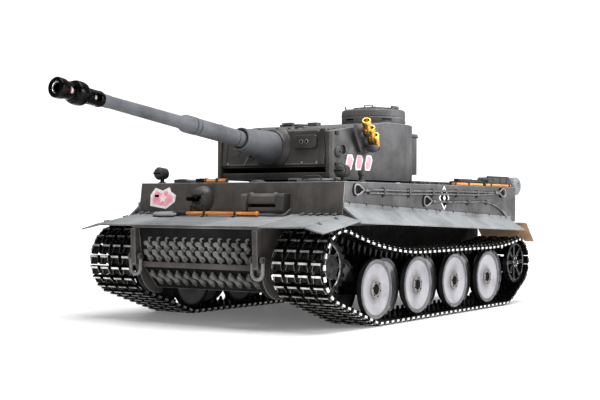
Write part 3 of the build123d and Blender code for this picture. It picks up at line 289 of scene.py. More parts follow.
# %% Copy a node, and put a piece in the frame
def copy_node(node, *materials):
    """A node's shape as a new object in millimetres, with whole faces."""
    obj = bpy.data.objects.new(node + "_copy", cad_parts[node].data.copy())
    bpy.context.scene.collection.objects.link(obj)
    obj.data.transform(to_millimetres)
    finish_in(obj, *materials)
    for polygon in obj.data.polygons:
        polygon.material_index = 0
    pick(obj)
    bpy.ops.mesh.customdata_custom_splitnormals_clear()
    with editing(obj):
        bpy.ops.mesh.select_all(action="SELECT")
        bpy.ops.mesh.remove_doubles(threshold=0.01)
        bpy.ops.mesh.dissolve_limited(angle_limit=math.radians(2))
    return obj


def into_frame(obj, name, body, slot, *nodes):
    """Names a piece, brings it to metres in the frame and sets it riding."""
    obj.name = name
    obj.data.name = name
    obj.data.transform(to_metres)
    obj.data.update()
    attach(obj, body)
    if nodes:
        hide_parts(*nodes)
    print(f"{name}: {len(obj.data.polygons)} faces on {body}")
    return obj

# %% [markdown]
# # Finishes
# The model is matt grey all over, but no two surfaces are the same grey: upward faces
# are paler, as settled dust and as painted light from above, dark runs streak the
# plates, and edges are rubbed lighter. Each finish is a few layers of noise on the
# object's own coordinates, so that it stays put on a piece when the piece moves.


# %% Node helpers
def new_finish(name, roughness=0.6, metallic=0.0):
    """An empty finish with its shader's plain numbers set."""
    material = bpy.data.materials.new(name)
    material.use_nodes = True
    shader = material.node_tree.nodes["Principled BSDF"]
    shader.inputs["Roughness"].default_value = roughness
    shader.inputs["Metallic"].default_value = metallic
    return material


def add(material, kind, links=(), **values):
    """Adds a node, sets its inputs or properties by name, and links its inputs."""
    node = material.node_tree.nodes.new(kind)
    for key, value in values.items():
        setattr(node, key, value)
    for socket, source in dict(links).items():
        if isinstance(source, (int, float, tuple)):
            node.inputs[socket].default_value = source
        else:
            material.node_tree.links.new(source, node.inputs[socket])
    return node


def place_of(material, stretch=(1, 1, 1)):
    """The object's own coordinates, stretched along an axis where asked."""
    coordinates = add(material, "ShaderNodeTexCoord")
    mapping = add(material, "ShaderNodeMapping",
                  {"Vector": coordinates.outputs["Object"], "Scale": stretch})
    return mapping.outputs["Vector"]


def noise(material, scale, detail=4.0, stretch=(1, 1, 1), roughness=0.55):
    """Grey noise, with its scale in repeats per metre."""
    node = add(material, "ShaderNodeTexNoise",
               {"Vector": place_of(material, stretch), "Scale": scale, "Detail": detail,
                "Roughness": roughness})
    return node.outputs["Fac"]


def ramp(material, value, stops):
    """A colour ramp from (position, colour) stops."""
    node = add(material, "ShaderNodeValToRGB", {"Fac": value})
    elements = node.color_ramp.elements
    while len(elements) < len(stops):
        elements.new(0.5)
    for element, (position, colour) in zip(elements, stops):
        element.position = position
        element.color = (*colour, 1.0) if len(colour) == 3 else colour
    return node.outputs["Color"]


def grey(level):
    """A neutral colour."""
    return (level, level, level)


def blend_in(material, share, below, above, mode="MIX"):
    """Lays one colour over another by a share."""
    node = material.node_tree.nodes.new("ShaderNodeMix")
    node.data_type = "RGBA"
    node.blend_type = mode
    for index, source in ((0, share), (6, below), (7, above)):
        if isinstance(source, (int, float)):
            node.inputs[index].default_value = source
        elif isinstance(source, tuple):
            node.inputs[index].default_value = (*source[:3], 1.0)
        else:
            material.node_tree.links.new(source, node.inputs[index])
    return node.outputs[2]


def number(material, value, low, high, from_low=0.3, from_high=0.7):
    """Brings a noise's usual range to the range that is wanted."""
    node = add(material, "ShaderNodeMapRange",
               {"Value": value, "From Min": from_low, "From Max": from_high,
                "To Min": low, "To Max": high})
    return node.outputs["Result"]


def dress(material, colour=None, roughness=None, height=None, depth=0.0002):
    """Links a finish's layers to its shader. Depth is the bump's height in metres."""
    tree = material.node_tree
    shader = tree.nodes["Principled BSDF"]
    if colour is not None:
        tree.links.new(colour, shader.inputs["Base Color"])
    if roughness is not None:
        tree.links.new(roughness, shader.inputs["Roughness"])
    if height is not None:
        bump = add(material, "ShaderNodeBump", {"Height": height, "Distance": depth, "Strength": 1.0})
        tree.links.new(bump.outputs["Normal"], shader.inputs["Normal"])
    return material

# %% [markdown]
# ## Weathered paint
# Sprayed model paint has three scales of variety: broad cloudy patches where dust and
# Upward faces are made paler, as settled dust and as painted light from above, so the surface's own
# direction picks where the pale tone lies.
# Dust settles on what faces up, so the surface's own direction picks where it lies.


# %% Weathered paint
def weathered(name, deep, body, pale, dust_and_top_light, dust_and_top_light_share=0.5, roughness=(0.5, 0.75), grime=0.35):
    """Matt paint with cloudy patches, run marks, a paler tone on upward faces that is settled dust and
    painted light from above, and a fine grain.
    """
    material = new_finish(name)
    clouds = noise(material, 38, 5)
    base = ramp(material, clouds, [(0.3, deep), (0.5, body), (0.72, pale)])
    runs = noise(material, 120, 4, stretch=(1, 1, 0.12))
    dark_runs = number(material, runs, 0.0, grime, 0.52, 0.8)
    base = blend_in(material, dark_runs, base, tuple(c * 0.35 for c in deep))
    # Upward faces get a paler top colour: settled dust, and painted light from above.
    facing = add(material, "ShaderNodeNewGeometry").outputs["Normal"]
    upward = add(material, "ShaderNodeSeparateXYZ", {"Vector": facing}).outputs["Z"]
    facing_up_share = number(material, upward, 0.0, dust_and_top_light_share, 0.35, 1.0)
    patchy = add(material, "ShaderNodeMath",
                 {0: facing_up_share, 1: number(material, noise(material, 90, 6), 0.4, 1.1)},
                 operation="MULTIPLY").outputs[0]
    base = blend_in(material, patchy, base, dust_and_top_light)
    speckle = noise(material, 900, 3)
    flecks = number(material, speckle, 0.0, 0.16, 0.58, 0.72)
    base = blend_in(material, flecks, base, tuple(min(1.0, c * 1.9) for c in pale))
    rough = number(material, noise(material, 160, 5), *roughness)
    return dress(material, base, rough, noise(material, 1500, 2), 0.00006)


hull_paint = weathered("hull grey", (0.044, 0.043, 0.043), (0.084, 0.082, 0.085), (0.120, 0.117, 0.121),
                       (0.20, 0.205, 0.215))
front_paint = weathered("front grey", (0.042, 0.037, 0.033), (0.074, 0.067, 0.062), (0.102, 0.092, 0.084),
                        (0.19, 0.195, 0.20))
guard_paint = weathered("mudguard grey", (0.10, 0.105, 0.108), (0.185, 0.195, 0.20), (0.25, 0.262, 0.27),
                        (0.30, 0.31, 0.315), 0.6)
wheel_paint = weathered("wheel grey", (0.19, 0.188, 0.20), (0.295, 0.292, 0.312), (0.36, 0.356, 0.378),
                        (0.42, 0.415, 0.43), 0.3, grime=0.2)
# Near-black painted shade: the underside and nose behind the spare links, the arms, the hub tubes between
# the discs and the plates under the cable eyes.
shade_black_paint = weathered("underside in painted shade", (0.006, 0.006, 0.0065), (0.013, 0.013, 0.014),
                        (0.024, 0.024, 0.025),
                        (0.04, 0.04, 0.04), 0.25)
tub_paint = weathered("hull side in shade", (0.028, 0.031, 0.037), (0.058, 0.063, 0.074),
                      (0.085, 0.09, 0.103),
                      (0.12, 0.125, 0.135), 0.25)
mantlet_paint = weathered("gun front grey", (0.020, 0.0195, 0.018), (0.044, 0.042, 0.039),
                          (0.078, 0.075, 0.070),
                          (0.17, 0.172, 0.172), 0.5, (0.38, 0.6))
barrel_paint = weathered("barrel grey", (0.055, 0.058, 0.063), (0.094, 0.099, 0.108), (0.125, 0.131, 0.142),
                         (0.17, 0.177, 0.188), 0.45, grime=0.2)
tan_paint = weathered("inner mudguard tan", (0.24, 0.14, 0.075), (0.36, 0.225, 0.125), (0.43, 0.28, 0.165),
                      (0.45, 0.33, 0.22), 0.3)
edge_paint = weathered("rubbed edge", (0.13, 0.13, 0.133), (0.22, 0.22, 0.225), (0.34, 0.34, 0.345),
                       (0.36, 0.365, 0.37), 0.4, (0.42, 0.6))
dark_edge = weathered("front edge", (0.10, 0.097, 0.092), (0.16, 0.155, 0.148), (0.23, 0.222, 0.21),
                      (0.26, 0.26, 0.26), 0.4, (0.42, 0.6))
print("paints:", ", ".join(m.name for m in bpy.data.materials if m.use_nodes))

# %% [markdown]
# ## Metals, wood and small finishes
# The tracks are cast metal, blackened and then rubbed bright on everything that
# touches. Gun metal is a satin black. Handles are varnished wood with a grain along
# their length, and the smoke tubes are polished brass.


# %% Metals
def bare_metal(name, dark, bright, roughness, cast=0.00008, scale=260):
    """Metal with patches of tone and a cast or brushed skin."""
    material = new_finish(name, metallic=1.0)
    tone = ramp(material, noise(material, scale, 6), [(0.32, dark), (0.66, bright)])
    rough = number(material, noise(material, scale * 1.7, 4), *roughness)
    return dress(material, tone, rough, noise(material, scale * 4, 3), cast)


track_black = bare_metal("blackened casting", (0.010, 0.010, 0.010), (0.045, 0.044, 0.043), (0.28, 0.5))
track_bright = bare_metal("rubbed casting", (0.42, 0.41, 0.40), (0.85, 0.84, 0.82), (0.16, 0.34), 0.00003)
pin_bright = bare_metal("polished pin end", (0.75, 0.74, 0.72), (0.97, 0.97, 0.96), (0.12, 0.26), 0.00002)
drive_metal = bare_metal("drive wheel metal", (0.012, 0.012, 0.013), (0.06, 0.06, 0.063), (0.32, 0.55))
gun_black = bare_metal("satin gun black", (0.006, 0.006, 0.006), (0.022, 0.021, 0.02), (0.18, 0.34), 0.00002)
gun_worn = bare_metal("worn gun edge", (0.20, 0.19, 0.16), (0.42, 0.40, 0.34), (0.22, 0.4), 0.00002)
chrome = bare_metal("bright ring", (0.62, 0.60, 0.60), (0.95, 0.94, 0.94), (0.08, 0.2), 0.00001)
brass = bare_metal("polished brass", (0.55, 0.26, 0.035), (0.98, 0.60, 0.16), (0.2, 0.36), 0.00003, 420)
cable_steel = bare_metal("cable steel", (0.10, 0.10, 0.10), (0.26, 0.26, 0.265), (0.4, 0.6), 0.00003, 500)


# %% Paint on tools, and dark openings
def plain_paint(name, deep, body, roughness, scale=150, grain=0.00003, coat=0.0):
    """Even paint or plastic with slight variety."""
    material = new_finish(name)
    material.node_tree.nodes["Principled BSDF"].inputs["Coat Weight"].default_value = coat
    tone = ramp(material, noise(material, scale, 5), [(0.35, deep), (0.65, body)])
    rough = number(material, noise(material, scale * 2, 4), *roughness)
    return dress(material, tone, rough, noise(material, 1400, 2), grain)


def wood(name, deep, body, stretch):
    """Varnished wood with its grain along one axis."""
    material = new_finish(name)
    material.node_tree.nodes["Principled BSDF"].inputs["Coat Weight"].default_value = 0.35
    grain = noise(material, 700, 5, stretch=stretch, roughness=0.65)
    tone = ramp(material, grain, [(0.36, deep), (0.56, body), (0.75, tuple(min(1, c * 1.25) for c in body))])
    return dress(material, tone, number(material, grain, 0.32, 0.52), grain, 0.00008)


wood_across = wood("handle wood across", (0.46, 0.15, 0.03), (0.80, 0.32, 0.07), (1, 0.08, 1))
wood_along = wood("handle wood along", (0.46, 0.15, 0.03), (0.80, 0.32, 0.07), (0.08, 1, 1))
# Near black with little shine: painted shade in openings, slits, holes, gaps and joints, and also the black
# print of the markings.
shade_and_print_black = plain_paint("dark opening", (0.003, 0.003, 0.003), (0.008, 0.008, 0.008), (0.6, 0.9))
shade_and_print_black.node_tree.nodes["Principled BSDF"].inputs["Specular IOR Level"].default_value = 0.12
# A low specular level keeps this painted shade dark.
shade_black_paint.node_tree.nodes["Principled BSDF"].inputs["Specular IOR Level"].default_value = 0.15
dark_paint = weathered("dark tool paint", (0.012, 0.013, 0.012), (0.026, 0.028, 0.026), (0.05, 0.052, 0.048),
                       (0.12, 0.125, 0.12), 0.4)
olive_paint = weathered("deck tool grey", (0.05, 0.053, 0.045), (0.085, 0.09, 0.078), (0.13, 0.135, 0.12),
                        (0.20, 0.205, 0.19), 0.4)
rim_paint = plain_paint("wheel rim", (0.085, 0.085, 0.09), (0.17, 0.17, 0.18), (0.5, 0.7), 220, 0.00005)
# Near black: the tyre's dark rubber, and also painted shade for the black gap between overlapping wheels.
tyre_black_and_shade = plain_paint("tyre rubber and painted shade", (0.006, 0.006, 0.006), (0.018, 0.018, 0.018), (0.6, 0.85), 240,
                          0.00008)
white_paint = plain_paint("marking white", (0.70, 0.69, 0.69), (0.90, 0.89, 0.89), (0.4, 0.55), 300)
pink_paint = plain_paint("marking pink", (0.83, 0.26, 0.33), (0.93, 0.45, 0.52), (0.4, 0.55), 220)
# Used inside the muzzle brake as a painted red glint.
red_glint_paint = plain_paint("painted red glint", (0.45, 0.01, 0.01), (0.70, 0.03, 0.03), (0.3, 0.45), 220)
link_paint = weathered("spare link grey", (0.075, 0.076, 0.072), (0.145, 0.147, 0.14), (0.20, 0.202, 0.193),
                       (0.27, 0.275, 0.27), 0.4)
motor_steel = bare_metal("motor can", (0.35, 0.35, 0.36), (0.6, 0.6, 0.62), (0.25, 0.45))
battery_wrap = plain_paint("battery wrap", (0.02, 0.06, 0.2), (0.04, 0.12, 0.38), (0.2, 0.35), 80, coat=0.5)
board_green = plain_paint("circuit board", (0.01, 0.14, 0.04), (0.03, 0.24, 0.08), (0.3, 0.5), 300)
print(len(bpy.data.materials), "finishes")

# %% [markdown]
# # Camera, floor and light
# The camera comes first, so that every later look is through it. It stands low, a
# little below the turret, in front of the tank's left corner, with a long lens. The
# floor has a slight sheen and glows towards white with distance, so that it has no
# horizon, and the light is soft: a panel overhead, a key from the left, a weak fill.


# %% Camera
def look(position, yaw, pitch, roll, lens, shift):
    """A camera at a place in millimetres, aimed by compass yaw, pitch and roll."""
    data = bpy.data.cameras.new("camera")
    camera = bpy.data.objects.new("camera", data)
    bpy.context.scene.collection.objects.link(camera)
    camera.location = to_metres @ Vector(position)
    forward = Vector((math.cos(math.radians(pitch)) * math.cos(math.radians(yaw)),
                      math.cos(math.radians(pitch)) * math.sin(math.radians(yaw)),
                      math.sin(math.radians(pitch))))
    level = forward.to_track_quat("-Z", "Y")
    camera.rotation_mode = "QUATERNION"
    camera.rotation_quaternion = level @ Matrix.Rotation(math.radians(roll), 4, "Z").to_quaternion()
    data.sensor_width = 36
    data.lens = lens
    data.shift_x, data.shift_y = shift
    data.clip_start, data.clip_end = 0.02, 30
    bpy.context.scene.camera = camera
    return camera


camera = look((750.6, 546.2, 90.5), yaw=-145.95, pitch=0.21, roll=0.19, lens=69.62,
              shift=(-0.0038, 0.0013))
print("camera at", [round(v, 3) for v in camera.location])

# %% Floor and light
floor_finish = new_finish("studio floor", roughness=0.32)
floor_tone = ramp(floor_finish, noise(floor_finish, 3, 2), [(0.3, grey(0.93)), (0.7, grey(0.96))])
dress(floor_finish, floor_tone, number(floor_finish, noise(floor_finish, 40, 3), 0.28, 0.36))
floor_shader = floor_finish.node_tree.nodes["Principled BSDF"]
floor_shader.inputs["Emission Color"].default_value = (1.0, 1.0, 1.0, 1.0)
far_off = add(floor_finish, "ShaderNodeVectorMath", {0: place_of(floor_finish)},
              operation="LENGTH").outputs["Value"]
floor_finish.node_tree.links.new(number(floor_finish, far_off, 0.12, 0.9, 0.35, 1.6),
                                 floor_shader.inputs["Emission Strength"])
bpy.ops.object.select_all(action="DESELECT")
bpy.ops.mesh.primitive_grid_add(x_subdivisions=4, y_subdivisions=4, size=40)
floor = bpy.context.object
floor.name = "floor"
finish_in(floor, floor_finish)

world = bpy.data.worlds.new("studio")
bpy.context.scene.world = world
world.use_nodes = True
sky = world.node_tree.nodes["Background"]
sky.inputs["Color"].default_value = (1.0, 1.0, 1.0, 1.0)
seen = world.node_tree.nodes.new("ShaderNodeLightPath")
strength = world.node_tree.nodes.new("ShaderNodeMapRange")
strength.inputs["To Min"].default_value = 0.34
strength.inputs["To Max"].default_value = 1.05
world.node_tree.links.new(seen.outputs["Is Camera Ray"], strength.inputs["Value"])
world.node_tree.links.new(strength.outputs["Result"], sky.inputs["Strength"])


def panel_light(name, place, target, size, power, colour=(1, 1, 1)):
    """A square studio light aimed at a point, in metres."""
    data = bpy.data.lights.new(name, "AREA")
    data.size = size
    data.energy = power
    data.color = colour
    light = bpy.data.objects.new(name, data)
    bpy.context.scene.collection.objects.link(light)
    light.location = place
    light.rotation_euler = (Vector(target) - Vector(place)).to_track_quat("-Z", "Y").to_euler()
    return light


panel_light("overhead", (0.0, 0.35, 1.5), (0, 0, 0.05), 1.1, 24)
panel_light("left key", (-0.45, 1.6, 0.6), (-0.05, 0, 0.06), 0.6, 20)
panel_light("front fill", (1.5, 0.3, 0.45), (0.1, 0, 0.08), 0.5, 3.5)
print("lights:", [light.name for light in bpy.data.lights])

# %% [markdown]
# # Tracks
# A track is a chain of cast links. Each link has a web, a row of ground pads along one
# edge, ribs that run back from the pads, knuckles for the pins, two guide horns that
# pass between the road wheels, and pin heads at its ends. It repeats 190 times, so it
# is built from plain blocks with few faces, once, and then copied to each link's place.
# The places are read from the frame: each link there is a plate of its own.

# %% One track link
track_width = track_high.y - track_low.y
half_track = track_width / 2
pin_to_ground = 2.7
pin_to_wheel = 1.8


def horn(across):
    """A guide horn: a tooth that narrows towards its tip."""
    tooth = block((-2.0, across - 1.1, -6.0), (2.0, across + 1.1, -0.6))
    with editing(tooth):
        choose(tooth, "faces", lambda f: f.normal.z < -0.9)
        bpy.ops.transform.resize(value=(0.35, 0.55, 1))
    return finish_in(tooth, track_black)


def track_link():
    """A link about its pins' line: X along the track, Y across, Z towards the ground."""
    web = finish_in(block((-3.0, -half_track + 1.2, -1.0), (3.0, half_track - 1.2, 0.5)), track_black)
    shapes = [web]
    pad_step = 11.1
    for i in range(4):
        centre = pad_step * (i - 1.5)
        foot = block((-3.4, centre - 4.3, 0.3), (-1.2, centre + 4.3, pin_to_ground - 0.5))
        shapes.append(finish_in(foot, track_black))
        pad = block((-3.1, centre - 3.9, pin_to_ground - 0.5), (-1.5, centre + 3.9, pin_to_ground))
        shapes.append(finish_in(pad, track_bright))
        for side in (-1, 1):
            rib = block((-1.4, -0.28, 0.3), (3.0, 0.28, 1.7))
            rib.data.transform(Matrix.Translation((0, centre + side * 3.1, 0)) @ turn_about("Z", side * 14))
            shapes.append(finish_in(rib, track_half))
    for i in range(5):
        shapes.append(finish_in(block((2.7, 9.4 * (i - 2) - 2.6, -1.4), (4.0, 9.4 * (i - 2) + 2.6, 1.0)),
                                track_black))
    for side in (-1, 1):
        shapes.append(horn(side * 9.85))
        head = block((-1.9, side * (half_track - 1.3), -0.8), (1.9, side * half_track, 0.9))
        shapes.append(finish_in(head, pin_bright))
    return join(*shapes)


track_half = bare_metal("half rubbed casting", (0.05, 0.05, 0.05), (0.34, 0.335, 0.33), (0.25, 0.45),
                        0.00004)
link = track_link()
print("a link has", len(link.data.polygons), "faces")

# %% [markdown]
# ## Where each link lies
# A plate's largest face is the one that the wheels run on. Its middle and its direction
# give the link's place and lie, so the detailed link drops into the plate's place.


# %% Read the links' places and lay the tracks
def plates_of(node):
    """The separate plates of a track node, each as a list of (area, middle, normal)."""
    mesh = bmesh.new()
    mesh.from_mesh(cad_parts[node].data)
    mesh.transform(to_millimetres)
    bmesh.ops.remove_doubles(mesh, verts=mesh.verts, dist=0.005)
    unseen = set(mesh.faces)
    plates = []
    while unseen:
        queue, plate = [unseen.pop()], []
        while queue:
            face = queue.pop()
            longest = max(face.edges, key=lambda e: e.calc_length())
            middle_of_it = (longest.verts[0].co + longest.verts[1].co) / 2
            plate.append((face.calc_area(), middle_of_it.copy(), face.normal.copy()))
            for edge in face.edges:
                for other in edge.link_faces:
                    if other in unseen:
                        unseen.remove(other)
                        queue.append(other)
        plates.append(plate)
    mesh.free()
    return plates


def lay_track(node, name):
    """Copies the link to each plate's place and joins them into one piece."""
    laid = []
    for plate in plates_of(node):
        seat, inward = max(plate, key=lambda face: face[0])[1:]
        down = -inward.normalized()
        along = Vector((0, 1, 0)).cross(down)
        pins = seat + down * pin_to_wheel
        lie = Matrix((along, (0, 1, 0), down)).transposed().to_4x4()
        lie.translation = pins
        laid.append(copy_at(link, turn=lie))
    piece = join(*laid)
    print(name, "has", len(laid), "links")
    return into_frame(piece, name, "hull", "track_metal", node)


lay_track("left_track", "left_track_links")
lay_track("right_track", "right_track_links")
bpy.data.objects.remove(link)

# %% [markdown]
# # Road wheels
# Each axle carries two dished steel discs with a tyre. A disc is turned on a lathe, so
# its profile is spun round the axle. The odd axles carry the outermost and innermost
# discs, the even ones the two layers between, which is why the wheels overlap.

# %% The disc's shape
wheel_radius = (wheel_high.z - wheel_low.z) / 2 / MM
disc_width = 4.6
tyre_inner = wheel_radius - 2.0


def hub_darkened(name, base):
    """A disc's paint: the wheel grey, turning darker and browner towards the hub."""
    material = base.copy()
    material.name = name
    tree = material.node_tree
    shader = tree.nodes["Principled BSDF"]
    under = shader.inputs["Base Color"].links[0].from_socket
    reach = add(material, "ShaderNodeAttribute", attribute_name="from_hub").outputs["Fac"]
    hub_tone = number(material, reach, 0.9, 0.0, 4.5, 12.5)
    hub_tone = add(material, "ShaderNodeMath",
               {0: hub_tone, 1: number(material, noise(material, 420, 5), 0.55, 1.05)},
               operation="MULTIPLY").outputs[0]
    ring = number(material, reach, 0.0, 0.92, 19.0, 19.7)
    tone = blend_in(material, hub_tone, under, (0.075, 0.060, 0.050))
    tone = blend_in(material, ring, tone, (0.085, 0.085, 0.09))
    tree.links.new(tone, shader.inputs["Base Color"])
    return material


disc_paint = hub_darkened("wheel disc grey", wheel_paint)


def measure_from_hub(obj):
    """Stores each point's distance from the axle, for the darker tone round the hub."""
    reach = obj.data.attributes.new("from_hub", "FLOAT", "POINT")
    for vertex, value in zip(obj.data.vertices, reach.data):
        value.value = math.hypot(vertex.co.x, vertex.co.z)
    return obj


def road_disc(face_y):
    """A dished disc with its tyre and hub, its outer face at face_y."""
    at = (0, face_y, 0)
    tyre = turned([(-0.4, tyre_inner - 0.1), (0, tyre_inner + 0.3), (0, wheel_radius - 0.5),
                   (-0.5, wheel_radius), (-disc_width + 0.5, wheel_radius),
                   (-disc_width, wheel_radius - 0.5),
                   (-disc_width, tyre_inner + 0.3), (-disc_width + 0.4, tyre_inner - 0.1)], at, "Y", 72,
                  ring=True)
    dish = turned([(-1.5, 0), (-1.5, 7.0), (-1.9, 7.9), (-2.6, 9.2), (-2.75, 11.5), (-2.5, 14.0),
                   (-1.95, 16.4), (-1.2, 18.4), (-0.75, 19.4), (-0.35, 20.0), (-0.45, tyre_inner + 0.05),
                   (-4.2, tyre_inner + 0.05), (-4.05, 18.6), (-3.9, 12.0), (-3.6, 7.0), (-3.5, 0)],
                  at, "Y", 72)
    hub = turned([(-1.6, 3.9), (-0.7, 4.1), (-0.45, 4.5), (-0.45, 6.7), (-0.8, 7.2), (-1.7, 7.3)],
                 at, "Y", 48, ring=True)
    # The hub well and the six bolt holes are near black: painted shade.
    well = turned([(-0.4, 0), (-0.5, 1.6), (-0.7, 3.2), (-0.9, 4.2), (-1.7, 4.4), (-1.7, 0)], at, "Y", 40)
    # The tyre's outward ring takes the grey rim paint; its tread and sides stay near black, which also
    # paints the shade between wheels.
    repaint_face = [p for p in tyre.data.polygons if p.normal.y > 0.6]
    finish_in(smooth(tyre), tyre_black_and_shade, rim_paint)
    for polygon in repaint_face:
        polygon.material_index = 1
    shapes = [tyre, finish_in(smooth(dish, 50), disc_paint),
              finish_in(smooth(hub), disc_paint), finish_in(smooth(well), shade_and_print_black)]
    for i in range(6):
        turn = math.radians(60 * i + 30)
        place = (5.6 * math.cos(turn), face_y - 0.45, 5.6 * math.sin(turn))
        shapes.append(finish_in(rod(place, 0.72, 0.5, "Y", 6), shade_and_print_black))
    return measure_from_hub(join(*shapes))

# %% [markdown]
# The same disc stands on each axle, at the two places across the track.

# %% Wheel sets on their axles
def wheel_set(node):
    """Both discs and the hub tube of the axle that a node holds, about its axle."""
    low, high = span(node)
    odd = int(node.rsplit("_", 1)[1]) % 2 == 1
    layer_step = 12.1
    track_middle = (track_low.y + track_high.y) / 2
    outer = 106.9 if odd else 106.9 - layer_step
    inner = 2 * track_middle - outer + disc_width
    hub_start = low.y if low.y > 0 else -high.y
    tube = rod((0, (hub_start + outer - 3) / 2, 0), 5.0, outer - 3 - hub_start, "Y", 40)
    # The hub tube between the discs is in near-black painted shade.
    return join(road_disc(outer), road_disc(inner), finish_in(smooth(tube), shade_black_paint))


patterns = {1: wheel_set("left_wheels_1"), 0: wheel_set("left_wheels_2")}
for i in range(1, 9):
    for side in ("left", "right"):
        node = f"{side}_wheels_{i}"
        centre = middle(node)
        turn = turn_about("Y", 17 * i)
        wheels = copy_at(patterns[i % 2], (centre.x, 0, centre.z), turn)
        if side == "right":
            flat = mirrored(wheels)
            bpy.data.objects.remove(wheels)
            wheels = flat
        into_frame(wheels, f"{side}_road_wheels_{i}", node, "wheel_paint", node)
for pattern in patterns.values():
    bpy.data.objects.remove(pattern)

# %% [markdown]
# # Drive sprocket, guide wheel and arms
# The engineering shapes of these are already right: toothed rings, spokes and hubs. A
# copy gets bevelled edges, and a ring of bolts and a cap that finish the hub.


# %% Sprocket, idler and arms
def bolt_ring(centre, radius, count, size, height, material, first=0.0):
    """Hexagonal bolt heads round a hub that faces along Y."""
    heads = []
    for i in range(count):
        turn = math.radians(first + 360 * i / count)
        place = (centre[0] + radius * math.cos(turn), centre[1], centre[2] + radius * math.sin(turn))
        heads.append(finish_in(rod(place, size, height, "Y", 6), material))
    return join(*heads)


def drive_piece(node, name, paint, edge, cap_radius, bolt_radius, count):
    """A wheel taken from the frame, with bevelled edges, a cap and its bolts."""
    wheel = edged(copy_node(node, paint, edge), 0.3)
    low, high = span(node)
    centre = middle(node)
    left = centre.y > 0
    face = high.y if left else low.y
    out = 1 if left else -1
    cap = turned([(-1.6, 0), (-1.6, cap_radius + 0.9), (-0.9, cap_radius), (-0.35, cap_radius * 0.8),
                  (-0.05, 0)],
                 (0, 0, 0), "Y", 40)
    cap = finish_in(smooth(cap), paint)
    if not left:
        cap.data.transform(Matrix.Scale(-1, 4, (0, 1, 0)))
        cap.data.flip_normals()
    cap.data.transform(Matrix.Translation((centre.x, face, centre.z)))
    bolts = bolt_ring((centre.x, face - out * 0.9, centre.z), bolt_radius, count, 0.8, 1.6, track_bright)
    return into_frame(join(wheel, cap, bolts), name, node, "drive_metal", node)


for side in ("left", "right"):
    drive_piece(f"{side}_sprocket", f"{side}_drive_sprocket", drive_metal, track_half, 4.2, 7.0, 10)
    drive_piece(f"{side}_idler", f"{side}_guide_wheel", drive_metal, track_half, 2.6, 4.0, 6)
    for i in range(1, 9):
        # The arms are in near-black painted shade.
        finish_in(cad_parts[f"{side}_arm_{i}"], shade_black_paint)

# %% [markdown]
# # The hull
# The hull is flat welded plate, so the frame's own shapes are right. Copies of them get
# rubbed edges from a narrow bevel. Faces are given a second paint by which way they
# point: the front plates are browner than the sides, and the inner faces of the rear
# mudguards show tan undercoat.

# %% Hull plates
pale_undercoat_x = rear_x + 14


def repaint(obj, index, test):
    """Gives a material slot to the faces that pass a test."""
    count = 0
    for polygon in obj.data.polygons:
        if test(polygon):
            polygon.material_index = index
            count += 1
    return count


# The tub is near-black painted shade for the underside and the nose behind the spare links; its sides above
# the tracks take the hull side grey.
tub = copy_node("lower_hull", shade_black_paint, dark_edge, front_paint, tub_paint)
repaint(tub, 3, lambda p: abs(p.normal.y) > 0.9 and p.center.z > 55 and p.center.x < 40)
repaint(tub, 2, lambda p: p.center.x > 50 and 50 < abs(p.center.y) < 60.2 and p.center.z > 40)
into_frame(edged(tub, 0.45), "hull_tub", "hull", "hull_paint", "lower_hull")

body = copy_node("upper_hull", hull_paint, edge_paint, front_paint, guard_paint)
repaint(body, 2, lambda p: p.normal.x > 0.8 and p.center.z > 80)
# Upward faces of the front deck get the paler mudguard grey: painted light from above.
repaint(body, 3, lambda p: p.normal.z > 0.8 and p.center.x > 36)
into_frame(edged(body, 0.4), "hull_body", "hull", "hull_paint", "upper_hull")

guards = copy_node("mudguards", guard_paint, edge_paint, tan_paint)
repaint(guards, 2, lambda p: p.center.x < pale_undercoat_x and (p.normal.x > 0.3 or p.normal.z < -0.5))
into_frame(edged(guards, 0.25), "mudguards_and_skirts", "hull", "fender_paint", "mudguards")

deck = copy_node("engine_deck", hull_paint, edge_paint)
into_frame(edged(deck, 0.3), "engine_deck_plate", "hull", "hull_paint", "engine_deck")

# %% [markdown]
# ## Seams, hinges and bolts
# Small repeated parts tell the eye how large the model is: weld beads where plates
# meet, the hinge rods of the mudguards, and clips along the top of the side skirts.
# Each is modelled once and copied along its line.


# %% Weld beads and hinge rods
def bead(start, end, radius=0.55, step=1.5):
    """A weld: overlapping drops of metal along a line."""
    start, end = Vector(start), Vector(end)
    count = max(2, int((end - start).length / step))
    bpy.ops.object.select_all(action="DESELECT")
    bpy.ops.mesh.primitive_uv_sphere_add(segments=6, ring_count=4, radius=radius)
    drop = bpy.context.object
    drops = [copy_at(drop, start.lerp(end, i / (count - 1))) for i in range(count)]
    bpy.data.objects.remove(drop)
    return finish_in(smooth(join(*drops), 60), edge_paint)


front_foot_x = 36.0
front_top_x = 32.6
front_foot_z = 83.4
beads = []
for side in (1, -1):
    corner = side * (hull_half - 0.2)
    beads.append(bead((front_foot_x - 0.2, corner, front_foot_z), (front_top_x, corner, roof_z - 0.3), 0.45))
    beads.append(bead((30.0, side * hull_half, 93), (30.0, side * hull_half, roof_z - 0.5), 0.3))
    beads.append(bead((-262, side * (hull_half - 0.1), roof_z - 0.05),
                      (26, side * (hull_half - 0.1), roof_z - 0.05), 0.3))
    beads.append(bead((rear_x + 0.2, side * (hull_half - 0.2), 82),
                      (rear_x + 0.2, side * (hull_half - 0.2), roof_z - 0.4), 0.45))
beads.append(bead((front_foot_x + 0.3, -58, front_foot_z + 0.2),
                  (front_foot_x + 0.3, 58, front_foot_z + 0.2), 0.45))
beads.append(bead((front_top_x - 0.2, -hull_half + 2, roof_z - 0.1),
                  (front_top_x - 0.2, hull_half - 2, roof_z - 0.1), 0.3))
into_frame(join(*beads), "hull_weld_beads", "hull", "hull_paint")


